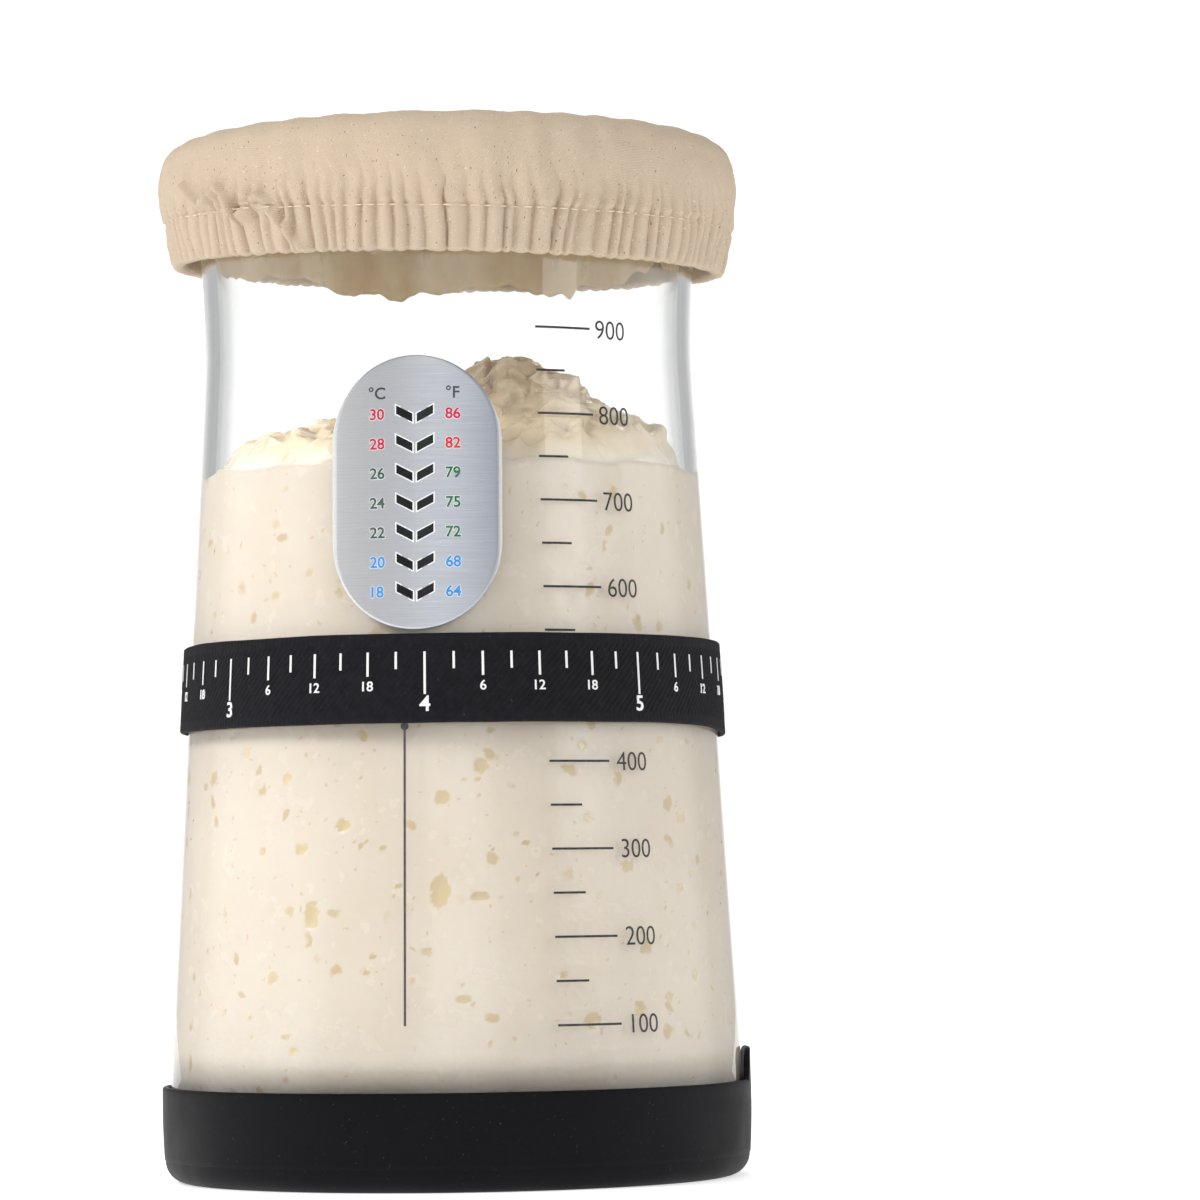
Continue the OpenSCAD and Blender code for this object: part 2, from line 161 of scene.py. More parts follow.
def skin(name: str, rings: np.ndarray, torus: bool = False,
         flat: Optional[np.ndarray] = None,
         crease: Optional[np.ndarray] = None) -> RenderObject:
    """Build a closed smooth mesh through rings of points.

    Args:
        name: name of the object.
        rings: array of rings by points by three.
        torus: whether the last ring joins the first; otherwise both ends are poles.
        flat: each point's UV; otherwise UVs run once round and once along the rings.
        crease: each point's painted shade for pleat valleys and bubble pits, 1 on a plain face and
            0 where it is darkest.

    Returns:
        The object.
    """
    count, around = rings.shape[:2]
    rows = count if torus else count - 1
    first, turn = np.arange(rows)[:, None], np.arange(around)[None, :]
    after, onward = (first + 1) % count, (turn + 1) % around
    quads = np.stack([first * around + turn, first * around + onward,
                      after * around + onward, after * around + turn], axis=-1)
    mesh = bpy.data.meshes.new(name)
    mesh.from_pydata((rings.reshape(-1, 3) * MM).tolist(), [], quads.reshape(-1, 4).tolist())
    if flat is None:
        u = np.stack([turn, turn + 1, turn + 1, turn], axis=-1) / around
        v = np.stack([first, first, first + 1, first + 1], axis=-1) / rows
        pairs = np.stack(np.broadcast_arrays(u, v), axis=-1)
    else:
        pairs = flat.reshape(-1, 2)[quads.reshape(-1, 4)]
    layer = mesh.uv_layers.new(name="UVMap")
    layer.data.foreach_set("uv", pairs.reshape(-1).astype(np.float32))
    # Painted shade: this attribute darkens pleat valleys and bubble pits in the materials.
    if crease is not None:
        values = mesh.attributes.new("crease", "FLOAT", "POINT")
        values.data.foreach_set("value", crease.reshape(-1).astype(np.float32))
    work = bmesh.new()
    work.from_mesh(mesh)
    if not torus:
        work.verts.ensure_lookup_table()
        ends = work.verts[:around] + work.verts[-around:]
        bmesh.ops.remove_doubles(work, verts=ends, dist=MERGE)
    settle(mesh, work)
    mesh.polygons.foreach_set("use_smooth", [True] * len(mesh.polygons))
    return link(name, mesh)


def join(name: str, parts: Sequence[RenderObject]) -> RenderObject:
    """Join objects that lie at the origin into one.

    Args:
        name: name of the joined object.
        parts: the objects, which are removed.

    Returns:
        The joined object.
    """
    work = bmesh.new()
    for part in parts:
        work.from_mesh(part.data)
        bpy.data.objects.remove(part)
    mesh = bpy.data.meshes.new(name)
    work.to_mesh(mesh)
    work.free()
    return link(name, mesh)


def dress(thing: RenderObject, body: Body, material: Material,
          nodes: Sequence[str] = ()) -> RenderObject:
    """Give a new piece its finish, body, slot and the nodes it stands for.

    Args:
        thing: the piece.
        body: body it rides on.
        material: its material.
        nodes: CAD nodes that it replaces.

    Returns:
        The piece.
    """
    thing.data.materials.clear()
    thing.data.materials.append(material)
    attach(thing, body.value)
    if nodes:
        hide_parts(*nodes)
    LOG.info("%s rides on %s with %d faces", thing.name, body.value, len(thing.data.polygons))
    return thing


def paint(node: str, material: Material) -> None:
    """Put a material on a CAD node that stays.

    Args:
        node: name of the node.
        material: its material.
    """
    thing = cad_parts[node]
    for piece in (thing if isinstance(thing, (list, tuple)) else [thing]):
        if not piece.material_slots:
            piece.data.materials.append(material)
        for place in piece.material_slots:
            place.material = material
    LOG.info("%s keeps its CAD shape", node)


@dataclass
class Graph:
    """Node graph of one procedural material."""

    name: str
    material: Material = field(init=False)

    def __post_init__(self) -> None:
        """Make the empty material."""
        self.material = bpy.data.materials.new(self.name)
        self.material.use_nodes = True
        self.material.node_tree.nodes.clear()

    def add(self, kind: str, inputs: Optional[dict] = None, **props: object) -> bpy.types.Node:
        """Add a node.

        Args:
            kind: the node's type name after ShaderNode.
            inputs: sockets by name or index, each a socket to link or a constant.
            props: the node's own properties.

        Returns:
            The node.
        """
        node = self.material.node_tree.nodes.new("ShaderNode" + kind)
        for key, value in props.items():
            setattr(node, key, value)
        for key, value in (inputs or {}).items():
            if isinstance(value, Socket):
                self.material.node_tree.links.new(value, node.inputs[key])
            else:
                node.inputs[key].default_value = value
        return node

    def place(self, stretch: Sequence[float] = (1, 1, 1), uv: bool = False) -> Socket:
        """Return object or UV coordinates, stretched along each axis."""
        source = self.add("TexCoord").outputs["UV" if uv else "Object"]
        return self.add("Mapping", {"Vector": source, "Scale": tuple(stretch)}).outputs[0]

    def grain(self, scale: float, where: Socket, detail: float = 4.0,
              rough_by: float = 0.55) -> Socket:
        """Return noise of a scale, with octaves and their strength, at a place."""
        return self.add("TexNoise", {"Vector": where, "Scale": scale, "Detail": detail,
                                     "Roughness": rough_by}).outputs[0]

    def axis(self, where: Socket, index: int) -> Socket:
        """Return one coordinate of a place, 0 for x to 2 for z."""
        return self.add("SeparateXYZ", {0: where}).outputs[index]

    def painted_recess_shade(self) -> Socket:
        """Return the piece's attribute of painted shade in its hollows."""
        return self.add("Attribute", attribute_name="crease").outputs["Fac"]

    def steps(self, factor: Socket, *stops: tuple[float, Union[float, Colour]]) -> Socket:
        """Map a factor through colour stops.

        Args:
            factor: socket to map.
            stops: positions, each with a grey value or a colour.

        Returns:
            The colour socket.
        """
        node = self.add("ValToRGB", {0: factor})
        ramp = node.color_ramp.elements
        while len(ramp) < len(stops):
            ramp.new(1.0)
        for element, (position, shade) in zip(ramp, stops):
            element.position = position
            colour = shade if isinstance(shade, tuple) else (shade, shade, shade)
            element.color = (*colour, 1.0)
        return node.outputs[0]

    def calc(self, mode: str, first: Number, second: Number = 0.0) -> Socket:
        """Return two numbers combined by a Math operation."""
        return self.add("Math", {0: first, 1: second}, operation=mode).outputs[0]

    def blend(self, factor: Number, first: Tone, second: Tone) -> Socket:
        """Return a mix of two colours, the first where the factor is 0."""
        fill = [v if isinstance(v, Socket) else (*v, 1.0) for v in (first, second)]
        return self.add("Mix", {0: factor, 6: fill[0], 7: fill[1]}, data_type="RGBA").outputs[2]

    def bump(self, height: Socket, depth: float, strength: float = 1.0,
             below: Optional[Socket] = None) -> Socket:
        """Turn a height into a normal.

        Args:
            height: height socket.
            depth: depth in metres.
            strength: how much of it is used.
            below: normal that it is laid over.

        Returns:
            The normal socket.
        """
        given = {"Height": height, "Distance": depth, "Strength": strength}
        if below is not None:
            given["Normal"] = below
        return self.add("Bump", given).outputs[0]

    def finish(self, clear: Optional[Socket] = None, thin: float = 0.0,
               **inputs: object) -> Material:
        """Close the graph with a Principled shader.

        Args:
            clear: factor by which the surface is see-through.
            thin: share of the light that shines through a thin layer.
            inputs: the shader's inputs, with underscores for spaces.

        Returns:
            The material.
        """
        given = {}
        for key, value in inputs.items():
            colour = key.endswith("Color") and isinstance(value, tuple)
            given[key.replace("_", " ")] = (*value, 1.0) if colour else value
        shader = self.add("BsdfPrincipled", given).outputs[0]
        if thin > 0.0:
            through = self.add("BsdfTranslucent", {"Color": given["Base Color"]}).outputs[0]
            shader = self.add("MixShader", {0: thin, 1: shader, 2: through}).outputs[0]
        if clear is not None:
            hole = self.add("BsdfTransparent").outputs[0]
            shader = self.add("MixShader", {0: clear, 1: shader, 2: hole}).outputs[0]
        self.add("OutputMaterial", {0: shader})
        return self.material


@dataclass(frozen=True)
class Silicone:
    """Black moulded silicone with a fine grain and a little dust."""

    colour: Colour = (0.0035, 0.0033, 0.0048)
    dust: Colour = (0.035, 0.035, 0.04)

    def make(self) -> Material:
        """Make the material.

        Returns:
            The material.
        """
        g = Graph("silicone_black")
        where = g.place()
        specks = g.steps(g.grain(1900.0, where, 2.0), (0.70, 0.0), (0.76, 1.0))
        smudge = g.grain(60.0, where, 5.0)
        worn = g.steps(smudge, (0.35, 0.44), (0.7, 0.58))
        colour = g.blend(specks, self.colour, self.dust)
        normal = g.bump(g.grain(2600.0, where, 2.0), 0.00004, 0.5)
        return g.finish(Base_Color=colour, Roughness=worn, Normal=normal, Specular_IOR_Level=0.10)


@dataclass(frozen=True)
class ClearGlass:
    """Pressed clear glass with faint waves and wiped smears."""

    tint: Colour = (0.982, 0.994, 0.990)
    ior: float = 1.5
    shadow_clear: float = 0.9

    def make(self) -> Material:
        """Make the material.

        Returns:
            The material.
        """
        g = Graph("glass_clear")
        smear = g.steps(g.grain(70.0, g.place((1, 1, 0.25)), 6.0), (0.5, 0.0), (0.8, 0.035))
        waves = g.bump(g.grain(36.0, g.place((1, 1, 0.5)), 1.0), 0.00012, 0.5)
        shadow = g.add("LightPath").outputs["Is Shadow Ray"]
        clear = g.calc("MULTIPLY", shadow, self.shadow_clear)
        return g.finish(clear, Base_Color=self.tint, Roughness=smear, Normal=waves,
                        IOR=self.ior, Transmission_Weight=1.0)


@dataclass(frozen=True)
class Starter:
    """Wet wheat starter with gas bubbles and streaks along the glass."""

    cream: Colour = (0.735, 0.65, 0.545)
    pale: Colour = (0.775, 0.70, 0.605)
    tan: Colour = (0.56, 0.41, 0.17)
    crust: Colour = (0.62, 0.47, 0.28)
    yellow: Colour = (0.68, 0.54, 0.345)
    line: float = 0.1276
    fade: float = 0.003
    wobble: float = 0.0045
    scatter: Colour = (0.0020, 0.0012, 0.0006)

    def cells(self, g: Graph, scale: float, where: Socket, reach: float, share: float) -> Socket:
        """Give a mask of separate bubbles.

        Args:
            g: graph that it is added to.
            scale: bubbles in a metre.
            where: coordinates.
            reach: how far a bubble reaches from its cell's middle.
            share: lowest random value of the cells that hold a bubble.

        Returns:
            The mask socket.
        """
        near = g.add("TexVoronoi", {"Vector": where, "Scale": scale, "Randomness": 1.0})
        inside = g.steps(near.outputs["Distance"], (reach * 0.6, 1.0), (reach, 0.0))
        chance = g.add("SeparateColor", {0: near.outputs["Color"]}).outputs[0]
        kept = g.steps(chance, (share - 0.01, 0.0), (share + 0.01, 1.0))
        return g.calc("MULTIPLY", inside, kept)

    def make(self) -> Material:
        """Make the material.

        Returns:
            The material.
        """
        g = Graph("dough_wet")
        plain = g.place()
        # Ragged coordinates give the bubbles torn rims.
        ragged = g.add("TexNoise", {"Vector": plain, "Scale": 260.0, "Detail": 4.0})
        moved = g.add("VectorMath", {0: ragged.outputs["Color"], 1: (self.wobble,) * 3},
                      operation="MULTIPLY").outputs[0]
        where = g.add("VectorMath", {0: plain, 1: moved}, operation="ADD").outputs[0]
        large = self.cells(g, 95.0, where, 0.27, 0.90)
        middle = self.cells(g, 230.0, where, 0.30, 0.84)
        small = self.cells(g, 620.0, where, 0.26, 0.84)
        # Cream with paler clouds, then streaks and bubbles from small to large.
        streaks = g.steps(g.grain(150.0, g.place((1, 1, 0.16)), 5.0), (0.46, 0.0), (0.74, 1.0))
        cloud = g.grain(42.0, plain, 4.0)
        base = g.blend(g.steps(cloud, (0.3, 0.0), (0.72, 1.0)), self.cream, self.pale)
        base = g.blend(g.calc("MULTIPLY", streaks, 0.10), base, self.crust)
        base = g.blend(g.calc("MULTIPLY", small, 0.62), base, self.crust)
        base = g.blend(g.calc("MULTIPLY", middle, 0.66), base, self.tan)
        base = g.blend(g.calc("MULTIPLY", large, 0.78), base, self.tan)
        # Painted shade: the mesh's own pits are darkened towards tan by their depth. The mound is
        # yellower than the body.
        pit_shade_mask = g.steps(g.painted_recess_shade(), (0.70, 0.75), (0.97, 0.0))
        base = g.blend(pit_shade_mask, base, self.tan)
        high = g.axis(plain, 2)
        above = g.add("MapRange", {0: high, 1: self.line, 2: self.line + self.fade}).outputs[0]
        base = g.blend(g.calc("MULTIPLY", above, 0.72), base, self.yellow)
        wet = g.steps(g.grain(240.0, plain, 3.0), (0.35, 0.12), (0.7, 0.32))
        rim = g.calc("ADD", g.grain(520.0, plain, 6.0), g.calc("MULTIPLY", middle, -0.6))
        normal = g.bump(rim, 0.00015, 0.6)
        return g.finish(Base_Color=base, Roughness=wet, Normal=normal, Subsurface_Weight=0.18,
                        Subsurface_Radius=self.scatter, Subsurface_Scale=1.0,
                        Coat_Weight=0.35, Coat_Roughness=0.12)


@dataclass(frozen=True)
class DriedFilm:
    """Dried smear of dough, see-through where it is thin, with a painted glow that lightens it in
    the cover's shade.
    """

    thick: Colour = (0.66, 0.52, 0.33)
    thin: Colour = (0.80, 0.69, 0.50)
    through: float = 0.45
    # Strength of the film's painted glow.
    glow: float = 0.20

    def make(self) -> Material:
        """Make the material.

        Returns:
            The material.
        """
        g = Graph("dough_dried")
        run = g.grain(210.0, g.place((1, 1, 0.30)), 6.0)
        blot = g.grain(90.0, g.place(), 5.0)
        cover = g.calc("MULTIPLY", g.calc("ADD", run, blot), 0.5)
        clear = g.steps(cover, (0.34, 0.62), (0.44, 0.12), (0.56, 0.02))
        colour = g.blend(g.steps(run, (0.4, 0.0), (0.68, 1.0)), self.thin, self.thick)
        normal = g.bump(run, 0.0003, 0.8)
        # Painted light: the emission makes the film glow, though no lamp lights it there.
        return g.finish(clear, self.through, Base_Color=colour, Roughness=0.48, Normal=normal,
                        Emission_Color=colour, Emission_Strength=self.glow)


@dataclass(frozen=True)
class Ink:
    """Printed ink with tiny pinholes and uneven cover."""

    name: str
    colour: Colour
    roughness: float = 0.45
    keep: float = 0.90
    lift: float = 0.045

    def make(self) -> Material:
        """Make the material.

        Returns:
            The material.
        """
        g = Graph(self.name)
        where = g.place()
        faded = tuple(min(1.0, self.keep * v + self.lift) for v in self.colour)
        uneven = g.steps(g.grain(900.0, where, 4.0), (0.42, 0.0), (0.72, 1.0))
        normal = g.bump(g.grain(3200.0, where, 2.0), 0.00001, 0.4)
        return g.finish(Base_Color=g.blend(uneven, self.colour, faded),
                        Roughness=self.roughness, Normal=normal)


@dataclass(frozen=True)
class BrushedStrip:
    """Silver face, brushed across, with a painted reflection: lighter at the left and bluer at the
    right.
    """

    # Colours of the painted reflection, lighter at the left and bluer at the right.
    left: Colour = (0.74, 0.75, 0.76)
    right: Colour = (0.42, 0.445, 0.51)
    hair: Colour = (0.2, 0.21, 0.24)
    left_x: float = -0.021
    right_x: float = 0.009

    def make(self) -> Material:
        """Make the material.

        Returns:
            The material.
        """
        g = Graph("strip_silver")
        # Painted reflection: the colour runs from the lit left side to the bluer right.
        side = g.axis(g.place(), 0)
        across = g.add("MapRange", {0: side, 1: self.left_x, 2: self.right_x}).outputs[0]
        hairs = g.grain(1.0, g.place((90, 90, 7000)), 4.0)
        colour = g.blend(across, self.left, self.right)
        colour = g.blend(g.steps(hairs, (0.35, 0.0), (0.7, 0.22)), colour, self.hair)
        gloss = g.steps(hairs, (0.3, 0.26), (0.7, 0.44))
        normal = g.bump(hairs, 0.00003, 0.5)
        return g.finish(Base_Color=colour, Metallic=0.85, Roughness=gloss, Normal=normal)


@dataclass(frozen=True)
class CrystalCell:
    """Dark liquid-crystal window with a faint green depth."""

    black: Colour = (0.004, 0.004, 0.005)
    green: Colour = (0.010, 0.022, 0.016)

    def make(self) -> Material:
        """Make the material.

        Returns:
            The material.
        """
        g = Graph("crystal_dark")
        depth = g.steps(g.grain(420.0, g.place(), 3.0), (0.45, 0.0), (0.8, 1.0))
        return g.finish(Base_Color=g.blend(depth, self.black, self.green), Roughness=0.22,
                        Specular_IOR_Level=0.3)


@dataclass(frozen=True)
class Webbing:
    """Black woven webbing whose threads catch a little lint."""

    colour: Colour = (0.006, 0.006, 0.008)
    top: Colour = (0.020, 0.020, 0.024)
    lint: Colour = (0.07, 0.07, 0.075)

    def make(self) -> Material:
        """Make the material.

        Returns:
            The material.
        """
        g = Graph("webbing_black")
        where = g.place()
        thread = g.add("TexWave", {"Vector": g.place((560, 0, 0), uv=True), "Scale": 1.0,
                                   "Distortion": 0.6, "Detail": 2.0}).outputs[0]
        lint = g.steps(g.grain(2300.0, g.place((1, 1, 0.35)), 2.0), (0.69, 0.0), (0.76, 0.5))
        colour = g.blend(g.grain(700.0, where, 4.0), self.colour, self.top)
        colour = g.blend(lint, colour, self.lint)
        normal = g.bump(thread, 0.00006, 0.6)
        normal = g.bump(g.grain(3000.0, where, 3.0), 0.00006, 0.6, normal)
        return g.finish(Base_Color=colour, Roughness=0.78, Normal=normal,
                        Specular_IOR_Level=0.08, Sheen_Weight=0.03)


@dataclass(frozen=True)
class Cotton:
    """Unbleached cotton: plain weave, slubs, brown flecks, bright neps and painted shade in its
    pleat valleys.
    """

    light: Colour = (0.84, 0.71, 0.555)
    dark: Colour = (0.72, 0.575, 0.425)
    # Colour of the painted shade in the pleat valleys.
    shade: Colour = (0.36, 0.225, 0.135)
    fleck: Colour = (0.20, 0.10, 0.045)
    nep: Colour = (0.97, 0.94, 0.88)
    threads: float = 380.0
    through: float = 0.30

    def make(self) -> Material:
        """Make the material.

        Returns:
            The material.
        """
        g = Graph("cotton_unbleached")
        flat = g.add("SeparateXYZ", {0: g.place(uv=True)})
        # Weave and slubs follow the cloth's own UVs, flecks and neps lie anywhere.
        turn = 2.0 * math.pi * self.threads
        warp = g.calc("SINE", g.calc("MULTIPLY", flat.outputs[0], turn))
        weft = g.calc("SINE", g.calc("MULTIPLY", flat.outputs[1], turn))
        weave = g.calc("MULTIPLY", warp, weft)
        slub_a = g.grain(1.0, g.place((14, 520, 1), uv=True), 3.0)
        slub_b = g.grain(1.0, g.place((520, 14, 1), uv=True), 3.0)
        slubs = g.calc("MAXIMUM", slub_a, slub_b)
        cloud = g.grain(60.0, g.place(), 5.0)
        tone = g.blend(g.steps(slubs, (0.35, 0.45), (0.8, 0.85)), self.dark, self.light)
        tone = g.blend(g.steps(cloud, (0.3, 0.0), (0.7, 0.35)), tone, self.light)
        tone = g.blend(g.steps(weave, (0.0, 0.22), (0.5, 0.0)), tone, self.dark)
        # Painted shade: the pleat valleys are darkened towards the shade colour.
        depth = g.painted_recess_shade()
        tone = g.blend(g.steps(depth, (0.05, 0.78), (0.55, 0.22), (0.95, 0.0)), tone, self.shade)
        fleck = g.steps(g.grain(2400.0, g.place((1, 1, 0.6)), 1.0), (0.725, 0.0), (0.76, 0.8))
        nep = g.steps(g.grain(2700.0, g.place((1, 0.7, 1)), 1.0), (0.69, 0.0), (0.73, 0.85))
        tone = g.blend(fleck, tone, self.fleck)
        tone = g.blend(nep, tone, self.nep)
        normal = g.bump(weave, 0.00010, 0.55)
        normal = g.bump(slubs, 0.00012, 0.5, normal)
        return g.finish(None, self.through, Base_Color=tone, Roughness=0.92, Normal=normal,
                        Sheen_Weight=0.15, Specular_IOR_Level=0.15)


@dataclass(frozen=True)
class Elastic:
    """Woven elastic tape."""

    colour: Colour = (0.80, 0.78, 0.72)
    gap: Colour = (0.55, 0.53, 0.47)

    def make(self) -> Material:
        """Make the material.

        Returns:
            The material.
        """
        g = Graph("elastic_tape")
        cords = g.add("TexWave", {"Vector": g.place(), "Scale": 900.0, "Detail": 1.0},
                      bands_direction="Z").outputs[0]
        colour = g.blend(cords, self.gap, self.colour)
        return g.finish(Base_Color=colour, Roughness=0.8, Normal=g.bump(cords, 0.0001, 0.6))


@dataclass(frozen=True)
class Glassware:
    """Shape of the glass, as the CAD has it."""

    low_r: float = 51.9
    low_z: float = 17.3
    taper: float = 7.5 / 132.7
    flare_z: float = 147.0
    flare_k: float = 0.0191
    wall: float = 2.5
    foot_z: float = 2.5
    floor_z: float = 14.0
    heel_x: float = 40.1
    heel_r: float = 12.0
    heel_end: float = 3.2
    bearing_r: float = 36.1
    punt: float = 2.5
    inner_heel_r: float = 9.5
    lip_z: float = 186.25
    lip_r: float = 1.25
    wall_steps: int = 60
    around: int = 256

    def outer(self, z: float) -> float:
        """Return the outer radius at a height."""
        flare = self.flare_k * max(0.0, z - self.flare_z) ** 1.5
        return self.low_r - self.taper * (z - self.low_z) + flare

    def bore(self, z: float) -> float:
        """Return the inner radius at a height above the inner heel."""
        return self.outer(z) - self.wall

    def inside(self, top_z: float, grow: float, steps: int) -> list[Flat]:
        """Give the inner profile from the floor's middle up to a height.

        Args:
            top_z: height of the last point.
            grow: distance by which the profile is set into the glass.
            steps: number of steps up the wall.

        Returns:
            The profile's points.
        """
        start = self.floor_z + self.inner_heel_r
        middle = (self.bore(start) - self.inner_heel_r, start)
        points = [(0.0, self.floor_z - grow), (middle[0] * 0.5, self.floor_z - grow)]
        points += arc(middle, self.inner_heel_r + grow, -90.0, 0.0)
        for i in range(1, steps + 1):
            z = start + (top_z - start) * i / steps
            points.append((self.bore(z) + grow, z))
        return points

    def underside(self, steps: int = 12) -> list[Flat]:
        """Give the pushed-up foot's profile, from the middle to the bearing ring.

        Args:
            steps: number of steps.

        Returns:
            The profile's points.
        """
        points = []
        for i in range(steps + 1):
            r = self.bearing_r * i / steps
            rise = 0.5 + 0.5 * math.cos(math.pi * r / self.bearing_r)
            points.append((r, self.foot_z + self.punt * rise))
        return points

    def build(self, finish: ClearGlass) -> None:
        """Build and dress the jar.

        Args:
            finish: the glass's finish.
        """
        profile = self.underside()
        heel = (self.heel_x, self.foot_z + self.heel_r)
        profile += arc(heel, self.heel_r, -90.0, self.heel_end, 20)
        start = profile[-1][1] + 1.0
        for i in range(self.wall_steps + 1):
            z = start + (self.lip_z - start) * i / self.wall_steps
            profile.append((self.outer(z), z))
        lip = (self.outer(self.lip_z) - self.lip_r, self.lip_z)
        profile += arc(lip, self.lip_r, 15.0, 165.0, 10)
        profile += reversed(self.inside(self.lip_z, 0.0, self.wall_steps))
        angles = np.radians(evenly(self.around))
        points = np.array(profile)
        rings = np.empty((len(profile), self.around, 3))
        rings[:, :, 0] = points[:, :1] * np.sin(angles)
        rings[:, :, 1] = -points[:, :1] * np.cos(angles)
        rings[:, :, 2] = points[:, 1:]
        dress(skin("jar_glass", rings), Body.JAR, finish.make(), ["glass_jar"])


GLASS = Glassware()


@dataclass(frozen=True)
class SiliconeBase:
    """The pull-off base with its tab."""

    out_r: float = 53.5
    in_r: float = 52.35
    low_r: float = 53.05
    edge_r: float = 4.0
    floor_t: float = 2.5
    floor_fillet: float = 5.0
    wall_low_z: float = 9.0
    rim_z: float = 17.3
    root_z: float = 13.3
    root_h: float = 2.2
    bead_r: float = 0.45
    parting_z: float = 4.0
    parting: float = 0.20
    swell_z: float = 5.0
    swell_h: float = 8.0
    tab_h: float = 5.8
    tab_w: float = 15.0
    tab_thin: float = 0.12
    corner_r: float = 3.5
    tab_azimuth: float = 90.0
    tab_reach: float = 12.0
    coarse: float = 1.5
    fine: float = 0.1

    def rise(self, azimuth: float) -> float:
        """Give how far the tab stands above the rim.

        Args:
            azimuth: degrees from the front.

        Returns:
            The height.
        """
        along = abs(math.radians(azimuth - self.tab_azimuth)) * self.out_r
        past = along - (self.tab_w / 2 - self.corner_r)
        if past <= 0.0:
            return self.tab_h
        if past >= self.corner_r:
            foot = smooth(past, self.corner_r + self.root_h, self.corner_r)
            return (self.tab_h - self.corner_r) * foot * foot
        return self.tab_h - self.corner_r + math.sqrt(self.corner_r ** 2 - past ** 2)

    def profile(self) -> list[Flat]:
        """Give the section from the underside's middle round to the floor's middle.

        Returns:
            The section's points.
        """
        low, part = self.low_r, self.parting_z
        points = [(0.0, 0.0), (30.0, 0.0)]
        points += arc((low - self.edge_r, self.edge_r), self.edge_r, -90.0, 0.0, 10)
        points += [(low, part + 0.05), (low + 0.12, part + 0.18), (low + self.parting, part + 1.0)]
        for share in (0.15, 0.3, 0.45, 0.6, 0.75, 0.9, 1.0):
            room = self.out_r - low - self.parting
            points.append((low + self.parting + room * math.sin(share * 1.57),
                           self.swell_z + self.swell_h * share))
        top = self.rim_z - self.bead_r
        points += [(self.out_r, self.root_z + 1.0), (self.out_r, self.root_z + self.root_h)]
        points += arc((self.out_r - self.bead_r, top), self.bead_r, 0.0, 90.0, 5)
        points += arc((self.in_r + self.bead_r, top), self.bead_r, 90.0, 180.0, 5)
        points += [(self.in_r, self.root_z), (self.in_r, self.wall_low_z)]
        fillet = self.floor_fillet
        points += reversed(arc((self.in_r - fillet, self.floor_t + fillet), fillet, -90.0, 0.0, 8))
        return points + [(20.0, self.floor_t), (0.0, self.floor_t)]

    def build(self, finish: Silicone) -> None:
        """Build and dress the base.

        Args:
            finish: the silicone's finish.
        """
        low, high = self.tab_azimuth - self.tab_reach, self.tab_azimuth + self.tab_reach
        azimuths = np.concatenate([np.arange(0.0, low, self.coarse),
                                   np.arange(low, high, self.fine),
                                   np.arange(high, FULL_TURN, self.coarse)])
        profile = self.profile()
        rings = np.empty((len(profile), len(azimuths), 3))
        for j, azimuth in enumerate(map(float, azimuths)):
            rise = self.rise(azimuth)
            for i, (r, z) in enumerate(profile):
                share = min(1.0, max(0.0, (z - self.root_z) / self.root_h))
                outside = rise > 0.0 and r > self.in_r + 0.6
                inset = self.tab_thin * share if outside else 0.0
                rings[i, j] = at(r - inset * min(1.0, rise), azimuth, z + rise * share)
        dress(skin("base_silicone", rings), Body.BASE, finish.make(), ["base_boot"])


